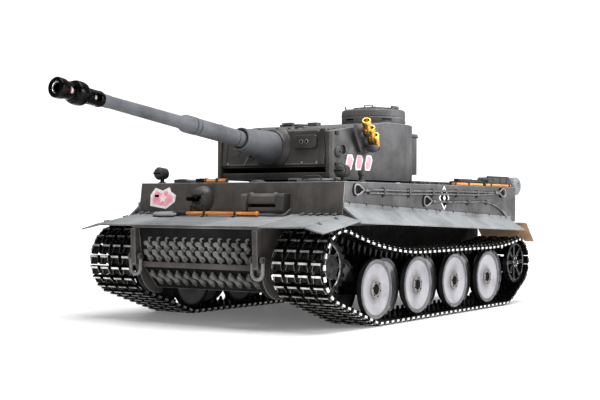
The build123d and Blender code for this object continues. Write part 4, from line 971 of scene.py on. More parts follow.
def hinge_rod(start, end, knuckles, radius=0.8):
    """A hinge rod between two points along Y, with knuckles along it."""
    low, high = min(start[1], end[1]), max(start[1], end[1])
    centre = (start[0], (low + high) / 2, start[2])
    parts = [finish_in(smooth(rod(centre, radius * 0.6, high - low, "Y", 12)), dark_paint)]
    for i in range(knuckles):
        y = low + (high - low) * (i + 0.5) / knuckles
        parts.append(finish_in(soften(rod((start[0], y, start[2]), radius, 2.6, "Y", 12), 0.15, 1),
                               guard_paint))
        leaf = block((start[0], y - 1.3, start[2] - radius),
                     (start[0] + 4.0, y + 1.3, start[2] - radius + 0.9))
        parts.append(finish_in(soften(leaf, 0.15, 1), guard_paint))
    return join(*parts)


rods = []
for side in (1, -1):
    rods.append(hinge_rod((front_foot_x + 1.2, side * 62, front_foot_z + 0.7), (0, side * 97, 0), 5))
    for x in (48, 70):
        stud = rod((x, side * 100.5, 83.4 - (x - 36) * 0.16 - 0.4), 1.0, 1.4, "Z", 8)
        strap = block((x - 1.6, side * 100.5 - 3.6, 82.2 - (x - 36) * 0.16),
                      (x + 1.6, side * 100.5 + 2.5, 83.3 - (x - 36) * 0.16))
        rods.append(join(finish_in(soften(strap, 0.2, 1), guard_paint), finish_in(stud, dark_paint)))
into_frame(join(*rods), "mudguard_hinges", "hull", "fender_paint")

# %% [markdown]
# A rivet is a tiny lathe shape. One is made and copied along a line on each side.

# %% Rivets along the tub, above the tracks
rivets = []
rivet = finish_in(smooth(rod((0, 0, 0), 0.75, 0.7, "Y", 8, tip=0.45)), tub_paint)
for side in (1, -1):
    for i in range(38):
        rivets.append(copy_at(rivet, (14 - 7.2 * i, side * 60.3, 71.5)))
bpy.data.objects.remove(rivet)
into_frame(join(*rivets), "tub_rivets", "hull", "hull_paint")

# %% [markdown]
# The skirts hang from small bolts. They are copied along the falling top edge.

# %% Skirt clips
skirt_front_z, skirt_rear_z = 92.5, 80.0


def skirt_top(x):
    """Height of the skirts' top edge at x: it falls evenly towards the rear."""
    return skirt_front_z + (skirt_rear_z - skirt_front_z) * (x - front_foot_x) / (rear_x - front_foot_x)


clip_pitch = 24.0
panel_length = (front_foot_x - (rear_x + 13)) / 4
clip_xs = [front_foot_x - 8 - clip_pitch * i for i in range(12)]
seam_xs = [front_foot_x - panel_length * i + offset for i in (1, 2, 3) for offset in (-3, 3)]
clips = []
for side in (1, -1):
    for x in clip_xs + seam_xs:
        z = skirt_top(x) - 0.6
        clip = block((x - 0.5, side * (hull_half - 0.1), z - 0.5),
                     (x + 0.5, side * (hull_half + 1.6), z + 1.2))
        clips.append(finish_in(soften(clip, 0.25, 1), dark_paint))
into_frame(join(*clips), "skirt_clips", "hull", "hull_paint")

# %% [markdown]
# # Spare track links on the nose
# Three rows of spare links hang on the nose plates, and their slanted, hooked outlines
# are the busiest pattern on the front. Each row's link is cut from its own outline,
# bevelled and copied twelve times, and a bar runs between the rows.

# %% Link outlines
hook_row = [(-3.9, 1.2), (-2.9, 2.6), (0.4, 2.7), (1.6, 1.6), (1.9, -0.4), (3.3, -1.0), (4.6, -2.6),
            (3.4, -4.6),
            (0.6, -4.4), (-0.6, -2.6), (-0.8, -1.0), (-3.0, -0.8)]
hook = [(0.3, 2.2), (0.2, 4.4), (1.2, 5.7), (3.9, 5.9), (4.1, 4.7), (2.4, 4.5), (1.9, 3.9), (2.2, 2.2),
        (1.3, 1.3)]
upper_row = [(-4.6, 4.0), (-3.7, 5.2), (-0.6, 5.2), (0.3, 4.0), (0.5, 1.6), (1.4, 0.4), (3.9, -0.9),
             (4.7, -2.6),
             (3.9, -4.9), (1.2, -5.3), (-0.2, -4.2), (-0.6, -2.2), (-1.6, -0.6), (-4.0, 0.8)]
lower_row = [(-4.8, 2.2), (-3.9, 4.3), (-1.0, 4.3), (-0.3, 3.0), (-0.1, 0.8), (1.0, 0.4), (3.6, 0.2),
             (4.2, -1.2),
             (3.9, -3.4), (3.0, -4.9), (0.4, -4.9), (-0.4, -3.4), (-0.6, -1.2), (-1.6, 0.4), (-4.0, 0.8)]
tab = [(-2.6, 4.0), (-1.2, 3.4), (-0.8, 5.4), (-2.3, 5.8)]


def spare_link(shapes, depth=2.6, stretch=1.0):
    """A spare link in the YZ plane from one or more outlines."""
    parts = []
    for number_of, points in enumerate(shapes):
        plate = outline([(y, z * stretch) for y, z in points], "YZ", 0.0, depth - 0.9 * number_of)
        parts.append(finish_in(edged(plate, 0.3), link_paint, edge_paint))
    drum = rod((depth * 0.6, 2.4, -3.6 * stretch), 1.7, depth + 0.5, "X", 14)
    parts.append(finish_in(soften(drum, 0.3, 1), front_paint))
    return join(*parts)

# %% [markdown]
# Each row leans as its plate does, so its links are turned before they are moved.

# %% Hang the rows
link_step = 8.4
nose_top_x, nose_break_x, nose_bottom_x = 84, 80, 62
nose_top_z, nose_break_z, belly_z = 74.5, 46, 26
nose_lean = math.degrees(math.atan2(nose_top_x - nose_break_x, nose_top_z - nose_break_z))
under_lean = math.degrees(math.atan2(nose_break_x - nose_bottom_x, nose_break_z - belly_z))
rows = [((82.0, 60.6), nose_lean, [hook_row, hook], 1.0),
        ((81.0, 52.4), nose_lean, [upper_row], 0.86),
        ((71.9, 35.6), under_lean, [lower_row, tab], 1.3)]
hung = []
for (x, z), lean, shapes, stretch in rows:
    pattern = spare_link(shapes, stretch=stretch)
    for i in range(12):
        y = link_step * (i - 5.5)
        hung.append(copy_at(pattern, (x, y, z), turn_about("Y", lean)))
    bpy.data.objects.remove(pattern)
links_piece = join(*hung)
bar = edged(block((80.6, -52.4, 43.0), (83.6, 52.4, 47.2)), 0.4)
finish_in(bar, front_paint, dark_edge)
bar_bolts = [finish_in(rod((82.4, link_step * (i - 5.5) + 2.6, 47.6), 0.8, 1.2, "Z", 8), edge_paint)
             for i in range(12)]
into_frame(join(links_piece, bar, *bar_bolts), "spare_track_links", "hull", "hull_paint", "hull_fittings")

# %% [markdown]
# # Fittings on the front and roof
# The driver looks through a slotted block between two cheeks, a machine gun sits in a
# domed cast ring, and a slit-covered headlamp stands on each front corner. Cast pieces
# are turned or bevelled generously; cut plate keeps tighter edges.

# %% Driver's vision block
face_x = front_foot_x - 0.1


def plate_front_x(z):
    """Where the sloping front plate's face lies at a height."""
    return front_foot_x + (front_top_x - front_foot_x) * (z - front_foot_z) / (roof_z - front_foot_z)


cover = outline([(face_x - 1, 91.0), (face_x + 6.2, 91.0), (face_x + 6.9, 92.4), (face_x + 5.6, 97.0),
                 (face_x + 3.0, 99.1), (face_x - 3, 99.3)], "XZ", 17.6, 26.6)
flap = outline([(face_x - 1, 84.0), (face_x + 5.4, 84.0), (face_x + 7.0, 86.0), (face_x + 6.6, 88.8),
                (face_x - 1, 88.8)], "XZ", 17.6, 26.6)
shelf = outline([(face_x - 1, 88.4), (face_x + 1.6, 88.4), (face_x + 1.6, 91.4), (face_x - 1, 91.4)],
                "XZ", 17.6, 26.6)
ramp_plate = outline([(face_x - 0.6, 88.0), (face_x + 4.0, 85.4), (face_x + 10.4, 82.6),
                      (face_x - 0.6, 82.6)], "XZ", 10.2, 43.0)
cheek_profile = [(face_x - 2, 84.4), (face_x + 7.4, 84.4), (face_x + 9.0, 86.4), (face_x + 9.0, 97.0),
                 (face_x + 7.4, 99.0), (face_x - 3, 99.2)]
cheeks = [outline(cheek_profile, "XZ", 12.3, 4.6), outline(cheek_profile, "XZ", 44.8, 6.8)]
parts = [finish_in(edged(shape, 0.4, 3), front_paint, dark_edge)
         for shape in (cover, flap, ramp_plate, cheeks[0])]
# The right cheek takes the darker gun front grey: painted shade for that block.
parts.append(finish_in(edged(cheeks[1], 0.4, 3), mantlet_paint, dark_edge))
# The vision slot's shelf is near black: painted shade.
parts.append(finish_in(shelf, shade_and_print_black))
for y in (19.8, 42.0):
    lug = block((face_x + 2.5, y - 1.2, 97.6), (face_x + 5.2, y + 1.2, 99.9))
    parts.append(finish_in(soften(lug, 0.3, 2), edge_paint))
into_frame(join(*parts), "driver_vision_block", "hull", "hull_paint", "hull_fittings")

# %% [markdown]
# The gun pokes out of a cast ring. The ring is spun, and the gun rides its own body.

# %% Bow machine gun and its collar
gun_y = -33.0
gun_z = 94.2
collar_radius = 11.0
collar = turned([(-1.5, 6.0), (-1.5, collar_radius + 0.4), (0.6, collar_radius + 0.2),
                 (2.6, collar_radius - 0.5),
                 (4.6, collar_radius - 1.9), (6.2, collar_radius - 3.7), (7.0, collar_radius - 5.6),
                 (6.0, 4.4),
                 (2.0, 4.2)], (plate_front_x(gun_z), gun_y, gun_z), "X", 56, ring=True)
collar = finish_in(smooth(collar, 50), mantlet_paint)
collar_parts = [collar]
mouth_x = plate_front_x(gun_z) + 6.4
for low, high in (((mouth_x - 5, -5.6, 3.9), (mouth_x + 1.1, 5.6, 5.4)),
                  ((mouth_x - 5, -5.6, -5.2), (mouth_x + 1.1, 5.6, -3.9)),
                  ((mouth_x - 5, -5.6, -5.2), (mouth_x + 1.1, -4.3, 5.4)),
                  ((mouth_x - 5, 4.3, -5.2), (mouth_x + 1.1, 5.6, 5.4))):
    lip = block((low[0], gun_y + low[1], gun_z + low[2]), (high[0], gun_y + high[1], gun_z + high[2]))
    collar_parts.append(finish_in(edged(lip, 0.35), mantlet_paint, edge_paint))
for turn in (35, 90, 145, 215, 270, 325):
    place = (plate_front_x(gun_z) + 1.2, gun_y + 10.4 * math.cos(math.radians(turn)),
             gun_z + 10.4 * math.sin(math.radians(turn)))
    collar_parts.append(finish_in(soften(rod(place, 0.8, 1.6, "X", 8), 0.2, 1), mantlet_paint))
pin = rod((mouth_x + 0.4, gun_y - 6.2, gun_z - 7.2), 0.5, 4.6, "Z", 8)
# A near-black plate behind the mouth paints the shade inside it.
back = finish_in(block((mouth_x - 5.2, gun_y - 4.6, gun_z - 4.1),
                       (mouth_x - 4.6, gun_y + 4.6, gun_z + 4.1)), shade_and_print_black)
collar_parts.append(back)
collar_parts.append(finish_in(pin, gun_black))
into_frame(join(*collar_parts), "bow_gun_collar", "hull", "hull_paint", "hull_fittings")

ball_radius = 7.6
ball_x = span("bow_gun")[0].x + ball_radius
ball = turned([(-7.5 * math.cos(math.radians(a)), 7.5 * math.sin(math.radians(a)))
               for a in range(0, 181, 10)],
              (ball_x, gun_y, gun_z), "X", 40)
barrel = turned([(0, 0), (0, 2.2), (10.4, 2.2), (10.8, 1.9), (11.4, 1.45), (18.2, 1.35), (18.4, 1.7),
                 (19.0, 1.7),
                 (19.0, 0.9), (17.5, 0.8), (17.5, 0)], (ball_x, gun_y, gun_z + 0.8), "X", 24)
sight = rod((ball_x + 6.6, gun_y + 2.9, gun_z + 2.4), 0.8, 3.4, "X", 12)
parts = [finish_in(smooth(ball, 60), dark_paint), finish_in(smooth(barrel), gun_black),
         finish_in(smooth(sight), gun_black)]
for i in range(3):
    collar_ring = rod((ball_x + 12.0 + 1.9 * i, gun_y, gun_z + 0.8), 1.75, 0.5, "X", 20)
    parts.append(finish_in(smooth(collar_ring), gun_black))
into_frame(join(*parts), "bow_machine_gun", "bow_gun", "gun_black", "bow_gun")

# %% [markdown]
# A headlamp is spun in one profile, then mirrored for the other corner.

# %% Headlamps
def headlamp():
    """The left headlamp: a drum with a domed cover, a slit, a rim and a stalk."""
    lamp_x, lamp_y, lamp_z, r = 20.0, 88.2, 116.1, 5.1
    drum = turned([(-5, 0), (-5, r - 1.6), (-4.2, r - 0.5), (2.2, r - 0.1), (2.2, r + 0.15),
                   (3.2, r + 0.15), (3.2, r - 0.3),
                   (4.4, r * 0.9), (5.5, r * 0.68), (6.2, r * 0.36), (6.4, 0)], (lamp_x, lamp_y, lamp_z),
                  "X", 40)
    # The slit is a near-black block: painted shade.
    slit = block((lamp_x + 4.6, lamp_y - 3.3, lamp_z - 0.55), (lamp_x + 6.6, lamp_y + 3.3, lamp_z + 0.55))
    hood = outline([(lamp_x + 4.2, lamp_z + 0.7), (lamp_x + 6.8, lamp_z + 0.7), (lamp_x + 5.6, lamp_z + 1.5),
                    (lamp_x + 4.2, lamp_z + 1.8)], "XZ", lamp_y - 3.6, 7.2)
    stalk = turned([(0, 0), (0, 3.4), (0.9, 3.2), (1.4, 1.7), (5.0, 1.5), (6.0, 2.0), (6.0, 0)],
                   (lamp_x - 1, lamp_y, roof_z), "Z", 24)
    return join(finish_in(smooth(drum, 40), dark_paint), finish_in(slit, shade_and_print_black),
                finish_in(soften(hood, 0.2, 1), dark_paint), finish_in(smooth(stalk), dark_paint))


lamp = headlamp()
into_frame(mirrored(lamp), "right_headlamp", "hull", "hull_paint", "hull_fittings")
into_frame(lamp, "left_headlamp", "hull", "hull_paint", "hull_fittings")

# %% [markdown]
# A shackle is a round bar bent to a U, so it is a curve with a round section.

# %% Tow shackles
def shackle():
    """The left tow shackle: a U of round bar on a bolt through the side plate."""
    x, z, y, reach = 84.5, 51.0, 57.7, 4.7
    path = [(x, y - reach, z + 2.2), (x, y - reach, z - 9)]
    path += [(x, y - reach * math.cos(math.radians(a)), z - 9 - reach * math.sin(math.radians(a)))
             for a in range(15, 180, 15)]
    path += [(x, y + reach, z - 9), (x, y + reach, z + 2.2)]
    curve = bpy.data.curves.new("shackle bar", "CURVE")
    curve.dimensions = "3D"
    curve.bevel_depth = 1.45
    curve.bevel_resolution = 3
    curve.use_fill_caps = True
    line = curve.splines.new("POLY")
    line.points.add(len(path) - 1)
    for point, place in zip(line.points, path):
        point.co = (*place, 1)
    bar = bpy.data.objects.new("shackle", curve)
    bpy.context.scene.collection.objects.link(bar)
    pick(bar)
    bpy.ops.object.convert(target="MESH")
    bar = bpy.context.object
    parts = [finish_in(smooth(bar, 50), edge_paint)]
    for side in (-1, 1):
        parts.append(finish_in(soften(rod((x, y + side * reach, z), 2.7, 2.6, "Y", 24), 0.4, 2),
                               front_paint))
        parts.append(finish_in(soften(rod((x, y + side * (reach + 2.0), z), 1.7, 1.6, "Y", 6), 0.25, 1),
                               dark_paint))
    parts.append(finish_in(smooth(rod((x, y, z), 1.8, 2 * reach, "Y", 20)), dark_paint))
    return join(*parts)


hook_bar = shackle()
into_frame(mirrored(hook_bar), "right_tow_shackle", "hull", "hull_paint", "hull_fittings")
into_frame(hook_bar, "left_tow_shackle", "hull", "hull_paint", "hull_fittings")

# %% [markdown]
# ## Roof fittings, hatches and the rear
# Most of these are small turned or bevelled castings. Hatch lids are copies from the
# frame, because their hinges must stay where the joints turn. The rear carries two
# exhausts inside sheet shields and two drum air cleaners on brackets.

# %% Hatch lids
for node, name in (("driver_hatch", "driver_hatch_lid"), ("radio_hatch", "radio_hatch_lid")):
    lid = edged(copy_node(node, hull_paint, edge_paint), 0.25)
    centre = middle(node)
    handle = soften(block((centre.x - 5, centre.y - 0.7, roof_z + 2.6),
                          (centre.x + 5, centre.y + 0.7, roof_z + 3.2)), 0.2, 1)
    into_frame(join(lid, finish_in(handle, dark_paint)), name, node, "hull_paint", node)

# %% [markdown]
# Lifting knobs and plugs are short lathe shapes set on the roof.

# %% Small castings on the hull roof
castings = []
for side in (1, -1):
    hood = outline([(3, roof_z), (13, roof_z), (13, roof_z + 2.2), (11.5, roof_z + 3.3),
                    (5, roof_z + 3.3), (3, roof_z + 1.5)],
                   "XZ", side * 38.5 - 4.5, 9.0)
    castings.append(finish_in(edged(hood, 0.4), hull_paint, edge_paint))
    # The periscope glass is near black: painted shade.
    glass = block((12.9, side * 38.5 - 3.4, roof_z + 0.7), (13.15, side * 38.5 + 3.4, roof_z + 1.9))
    castings.append(finish_in(glass, shade_and_print_black))
    pin_z = roof_z + 2.0
    for x in (4.25, 13.75):
        ear = block((x - 0.75, side * 78.1 - 1.3, roof_z), (x + 0.75, side * 78.1 + 1.3, pin_z + 1.3))
        castings.append(finish_in(soften(ear, 0.35, 2), hull_paint))
    castings.append(finish_in(smooth(rod((9.0, side * 78.1, pin_z), 0.7, 10, "X", 12)), dark_paint))
fan = turned([(0, 0), (0, 7), (1.0, 7), (1.6, 6.2), (1.7, 5.2), (2.4, 4.6), (2.5, 0)], (6, 0, roof_z),
             "Z", 40)
castings.append(finish_in(smooth(fan), hull_paint))
filler = turned([(0, 0), (0, 3.0), (1.2, 2.9), (2.0, 2.2), (5.2, 1.9), (5.6, 2.6), (8.2, 2.7), (9.3, 2.2),
                 (9.4, 0)],
                (-8, 88, roof_z), "Z", 28)
castings.append(finish_in(smooth(filler), dark_paint))
into_frame(join(*castings), "hull_roof_castings", "hull", "hull_paint", "hull_fittings")

# %% [markdown]
# A grille is a frame with slats over a dark opening, so it has real depth.

# %% Engine deck grilles
meshes = []
deck_low, deck_high = span("engine_deck")
deck_middle = (deck_low.x + deck_high.x) / 2
for side in (1, -1):
    for i in range(13):
        x = deck_middle - 12 - 12 + 2 * i
        half = math.sqrt(max(0.5, 12.6 ** 2 - (2 * i - 12) ** 2))
        meshes.append(finish_in(block((x - 0.25, side * 52 - half, deck_high.z - 1.9),
                                      (x + 0.25, side * 52 + half, deck_high.z - 1.5)), dark_paint))
    rim = turned([(0, 12.8), (0, 14.6), (0.6, 14.4), (0.8, 13.8), (0.6, 13.0)],
                 (deck_middle - 12, side * 52, deck_high.z - 1.2), "Z", 48, ring=True)
    meshes.append(finish_in(smooth(rim), hull_paint))
    for x in (deck_low.x + 3, deck_high.x - 3):
        for y in (side * 20, side * 74):
            bolt = rod((x, y, deck_high.z - 0.8), 1.1, 0.9, "Z", 6)
            meshes.append(finish_in(soften(bolt, 0.15, 1), edge_paint))
into_frame(join(*meshes), "engine_deck_grilles", "hull", "hull_paint")

# %% [markdown]
# Both are sheet metal drums: spun profiles with straps and brackets.

# %% Exhausts and air cleaners
def exhaust(y):
    """One exhaust: a stack in a sheet shield, on a cast elbow."""
    x = rear_x - 10
    stack = turned([(54, 0), (54, 8.6), (57, 8.8), (58.5, 6.4), (92, 6.1), (94, 6.6), (99.4, 6.6),
                    (100, 6.2), (100, 4.9), (92, 4.6), (92, 0)],
                   (x, y, 0), "Z", 40)
    shield = turned([(60, 8.5), (60, 9.25), (89, 9.25), (90, 9.1), (90, 8.5)], (x, y, 0), "Z", 48, ring=True)
    straps = [finish_in(smooth(rod((x, y, z), 9.48, 1.6, "Z", 48)), dark_paint) for z in (66, 84)]
    foot = edged(block((x + 1, y - 11, 54.2), (rear_x, y + 11, 57.0)), 0.4)
    return join(finish_in(smooth(stack), dark_paint), finish_in(smooth(shield), hull_paint), *straps,
                finish_in(foot, hull_paint, edge_paint))


def air_cleaner(side):
    """One air cleaner: a ribbed drum across the corner, on its bracket."""
    x, z = rear_x - 9.5, 109.0
    drum = turned([(66, 0), (66, 7.2), (67.2, 8.3), (68.5, 8.5), (74, 8.5), (74.5, 8.1), (75.5, 8.1),
                   (76, 8.5), (87, 8.5), (87.5, 8.1),
                   (88.5, 8.1), (89, 8.5), (94.6, 8.5), (96, 8.1), (97, 6.8), (97, 4.0), (96.2, 3.6),
                   (96.2, 0)], (x, 0, z), "Y", 44)
    drum = finish_in(smooth(drum, 40), guard_paint)
    bracket = edged(block((x + 2, 71, 94), (rear_x, 91, 107.5)), 0.5)
    piece = join(drum, finish_in(bracket, hull_paint, edge_paint))
    if side < 0:
        twin = mirrored(piece)
        bpy.data.objects.remove(piece)
        return twin
    return piece


for side, word in ((1, "left"), (-1, "right")):
    into_frame(exhaust(side * 22.0), f"{word}_exhaust", "hull", "hull_paint", "hull_fittings")
    into_frame(air_cleaner(side), f"{word}_air_cleaner", "hull", "fender_paint", "hull_fittings")

# %% [markdown]
# # The turret
# The turret is one bent strip of thick plate with a flat roof that slopes down at the
# front. Its shape comes from the frame, with rubbed edges. What makes it read as a
# turret is the small work: the cheek strips, a pistol port, roof bolts, a welded roof
# edge and the vision slots of the cupola.

# %% Turret shell
roof_flat_z = 159.0
roof_bend_x = -82.0
brow_x = -15.0
brow_z = 149.0
front_half, rear_half, side_end_x = 55.0, 68.05, -93.6


def turret_roof_at(x):
    """Height of the turret roof at x."""
    if x < roof_bend_x:
        return roof_flat_z
    return roof_flat_z + (brow_z - roof_flat_z) * (x - roof_bend_x) / (brow_x - roof_bend_x)


def cheek_y(x):
    """Half width of the turret's straight side at x."""
    return front_half + (rear_half - front_half) * (x - brow_x) / (side_end_x - brow_x)


shell = copy_node("turret_shell", hull_paint, edge_paint, mantlet_paint)
repaint(shell, 2, lambda p: p.normal.x > 0.8 and p.center.x > -20)
into_frame(edged(shell, 0.4), "turret_shell_plates", "turret", "hull_paint", "turret_shell")

# %% [markdown]
# The small work is boxes with soft edges and spun caps, joined into one piece.

# %% Cheek strips, pistol port and roof bolts
details = []
for side in (1, -1):
    strip = block((-17.5, side * 51.6, 112.5), (-13.2, side * 55.6, 148.6))
    details.append(finish_in(edged(strip, 0.6), front_paint, dark_edge))
    for z in (122.7, 147.6):
        notch = block((-24.6, side * (cheek_y(-23) - 0.6), z - 1.5),
                      (-20.4, side * (cheek_y(-23) + 0.9), z + 1.5))
        details.append(finish_in(soften(notch, 0.3, 1), dark_paint))
    port = turned([(-1.2, 0), (-1.2, 4.7), (0.5, 4.6), (1.0, 4.0), (1.3, 3.4), (1.5, 3.3), (1.6, 0)],
                  (-24.5, side * cheek_y(-24.5), 132.7), "Y", 36)
    if side < 0:
        back = Matrix.Translation((0, 2 * side * cheek_y(-24.5), 0))
        port.data.transform(back @ Matrix.Scale(-1, 4, (0, 1, 0)))
        port.data.flip_normals()
    details.append(finish_in(smooth(port, 40), hull_paint))
    pin = rod((-31.5, side * (cheek_y(-31.5) + 0.7), 133), 0.9, 2.4, "Y", 16)
    details.append(finish_in(soften(pin, 0.2, 1), dark_paint))
    # A near-black slot beside the port: painted shade.
    details.append(finish_in(block((-25.6, side * (cheek_y(-24.5) + 1.3), 132.2),
                                   (-23.4, side * (cheek_y(-24.5) + 1.75), 133.2)), shade_and_print_black))
    edge = [(brow_x - 0.6, side * 54.4, brow_z + 0.05),
            (-82, side * (cheek_y(-82) - 0.6), roof_flat_z - 0.1), (-93, side * 67.2, roof_flat_z - 0.1)]
    details += [bead(edge[0], edge[1], 0.35), bead(edge[1], edge[2], 0.35)]
turret_x, rim_radius = -105, 68.4
details.append(bead((brow_x - 0.8, -53.8, brow_z + 0.1), (brow_x - 0.8, 53.8, brow_z + 0.1), 0.3))
rim_points = [(turret_x + rim_radius * math.cos(math.radians(a)), rim_radius * math.sin(math.radians(a)),
               roof_flat_z - 0.1) for a in range(100, 261, 10)]
details += [bead(a, b, 0.35) for a, b in zip(rim_points, rim_points[1:])]
seat_x = -32.0
seat_z = turret_roof_at(seat_x)
for y in (-8.0, 4.2, -26.0):
    knob = edged(block((seat_x - 2.2, y - 2.3, seat_z - 0.6), (seat_x + 2.2, y + 2.3, seat_z + 1.5)), 0.5)
    details.append(finish_in(knob, dark_paint, edge_paint))
    nut = rod((seat_x, y, seat_z + 1.9), 1.3, 1.2, "Z", 6)
    details.append(finish_in(soften(nut, 0.25, 1), dark_paint))
hoop = outline([(10.6, -0.5), (10.6, 2.6), (11.8, 3.4), (18.8, 3.4), (20.0, 2.6), (20.0, -0.5),
                (18.7, -0.5), (18.7, 2.2), (11.9, 2.2), (11.9, -0.5)],
               "YZ", seat_x - 2.0, 4.0)
hoop.data.transform(Matrix.Translation((0, 0, seat_z)))
details.append(finish_in(edged(hoop, 0.3), hull_paint, edge_paint))
for side in (1, -1):
    for x in (-38, -60):
        screw = rod((x, side * (cheek_y(x) - 5), turret_roof_at(x) + 0.2), 0.9, 0.9, "Z", 6)
        details.append(finish_in(soften(screw, 0.15, 1), edge_paint))
vent_x, vent_y, vent_bolts = -132, -22, 8.5
dome = turned([(0, 0), (0, 9.2), (0.8, 9.0), (1.2, 8.0), (2.6, 7.6), (3.1, 6.4), (3.3, 0)],
              (vent_x, vent_y, roof_flat_z), "Z", 44)
details.append(finish_in(smooth(dome), hull_paint))
for turn in range(0, 360, 60):
    nut = rod((vent_x + vent_bolts * math.cos(math.radians(turn)),
               vent_y + vent_bolts * math.sin(math.radians(turn)),
               roof_flat_z + 1.1), 0.6, 0.6, "Z", 6)
    details.append(finish_in(nut, edge_paint))
into_frame(join(*details), "turret_shell_details", "turret", "hull_paint")

# %% [markdown]
# The cupola is a drum from the frame; a spun lip and dark slits finish it.

# %% Cupola with its slits and rim
cup_x, cup_y, cup_r = -119.5, 32.5, 27.5
cup_top = roof_flat_z + 13.5
drum = edged(copy_node("cupola", hull_paint, edge_paint), 0.25)
extras = [drum]
lip = turned([(cup_top - 6.6, cup_r - 1.2), (cup_top - 6.6, cup_r - 0.2), (cup_top - 6.0, cup_r + 0.25),
              (cup_top - 1.6, cup_r - 0.1),
              (cup_top - 0.5, cup_r - 0.7), (cup_top + 0.1, cup_r - 2.0), (cup_top + 0.1, cup_r - 5)],
             (cup_x, cup_y, 0), "Z", 72, ring=True)
extras.append(finish_in(smooth(lip, 40), hull_paint))
foot = turned([(roof_flat_z, cup_r - 1), (roof_flat_z, cup_r + 0.9), (roof_flat_z + 0.5, cup_r + 0.8),
               (roof_flat_z + 1.1, cup_r + 0.1),
               (roof_flat_z + 1.1, cup_r - 1)], (cup_x, cup_y, 0), "Z", 72, ring=True)
extras.append(finish_in(smooth(foot, 50), hull_paint))
for i in range(5):
    turn = turn_about("Z", 55 + 72 * i)
    sill = outline([(cup_r - 1.2, roof_flat_z + 3.9), (cup_r + 0.5, roof_flat_z + 3.9),
                    (cup_r + 0.4, roof_flat_z + 3.4),
                    (cup_r - 1.2, roof_flat_z + 3.1)], "XZ", -5.0, 10.0)
    # Behind each sill a near-black block paints the shade in the vision slit.
    dark = block((cup_r - 3.2, -4.6, roof_flat_z + 4.0), (cup_r - 0.5, 4.6, roof_flat_z + 5.2))
    for shape, material in ((soften(sill, 0.2, 1), hull_paint), (dark, shade_and_print_black)):
        finish_in(shape, material)
        shape.data.transform(Matrix.Translation((cup_x, cup_y, 0)) @ turn)
        extras.append(shape)
for i in range(10):
    angle = math.radians(36 * i)
    bolt = rod((cup_x + (cup_r - 3.6) * math.cos(angle), cup_y + (cup_r - 3.6) * math.sin(angle),
                cup_top + 0.1), 0.9, 0.9, "Z", 6)
    extras.append(finish_in(soften(bolt, 0.15, 1), edge_paint))
post = outline([(-1.6, 0), (0.4, 0), (1.7, 4.6), (1.1, 4.9), (-0.4, 1.6), (-1.2, 1.4)], "XZ", -0.6, 1.2)
soften(post, 0.2, 1)
post.data.transform(Matrix.Translation((cup_x + 17.0, cup_y - 17.5, cup_top - 0.2)) @ Matrix.Scale(0.7, 4))
extras.append(finish_in(post, gun_black))
into_frame(join(*extras), "cupola_drum", "turret", "hull_paint", "cupola")

# %% [markdown]
# Lids come from the frame, with a knob, a grab bar and a raised plate added.

# %% Turret hatches
lid = edged(copy_node("commander_hatch", hull_paint, edge_paint), 0.25)
knob = turned([(0, 0), (0, 3.2), (0.7, 3.1), (1.1, 2.4), (1.3, 0)], (cup_x - 5, cup_y - 3, cup_top + 3.1),
              "Z", 28)
bow = [(cup_x + 5, cup_y - 6, cup_top + 3.0), (cup_x + 5, cup_y - 6, cup_top + 4.6),
       (cup_x + 5, cup_y + 2, cup_top + 4.6), (cup_x + 5, cup_y + 2, cup_top + 3.0)]


def bent_bar(points, radius, material, closed=False, kind="POLY", resolution=2):
    """A bar of round section along a line of points."""
    curve = bpy.data.curves.new("bar", "CURVE")
    curve.dimensions = "3D"
    curve.bevel_depth = radius
    curve.bevel_resolution = resolution
    curve.use_fill_caps = not closed
    line = curve.splines.new(kind)
    line.points.add(len(points) - 1)
    for point, place in zip(line.points, points):
        point.co = (*place, 1)
    line.use_cyclic_u = closed
    if kind == "NURBS":
        line.order_u = 3
        line.use_endpoint_u = not closed
        line.resolution_u = 6
    bar = bpy.data.objects.new("bar", curve)
    bpy.context.scene.collection.objects.link(bar)
    pick(bar)
    bpy.ops.object.convert(target="MESH")
    return finish_in(smooth(bpy.context.object, 60), material)


handle = bent_bar(bow, 0.5, dark_paint)
into_frame(join(lid, finish_in(smooth(knob), dark_paint), handle), "commander_hatch_lid",
           "commander_hatch", "hull_paint", "commander_hatch")
loader = edged(copy_node("loader_hatch", hull_paint, edge_paint), 0.25)
centre = middle("loader_hatch")
ridge = edged(block((centre.x - 9, centre.y - 8, roof_flat_z + 2.0),
                    (centre.x + 7, centre.y + 8, roof_flat_z + 2.6)), 0.4)
into_frame(join(loader, finish_in(ridge, hull_paint, edge_paint)), "loader_hatch_lid", "loader_hatch",
           "hull_paint", "loader_hatch")

# %% [markdown]
# The bin is a box from the frame, with hasps, ribs and hinges added.

# %% Stowage bin
locker = edged(copy_node("stowage_bin", hull_paint, edge_paint), 0.35)
parts = [locker]
for y in (-24, 0, 24):
    hasp = block((-196.6, y - 1.8, 148.6), (-195.4, y + 1.8, 154.6))
    parts.append(finish_in(soften(hasp, 0.25, 1), dark_paint))
    parts.append(finish_in(rod((-196.4, y, 150.4), 1.1, 1.0, "X", 12), edge_paint))
for z in (126.0, 137.0):
    rib = block((-195.6, -27, z), (-194.6, 27, z + 1.4))
    parts.append(finish_in(soften(rib, 0.4, 2), hull_paint))
for side in (1, -1):
    hinge = block((-190, side * 38.2, 152.0), (-176, side * 39.0, 153.4))
    parts.append(finish_in(soften(hinge, 0.2, 1), dark_paint))
into_frame(join(*parts), "turret_stowage_bin", "turret", "hull_paint", "stowage_bin")

# %% [markdown]
# Three brass tubes lean out over a cup. One is spun and copied three times.

# %% Smoke dischargers
tube_yaw, tube_pitch, tube_size = 25, 48, 1.22


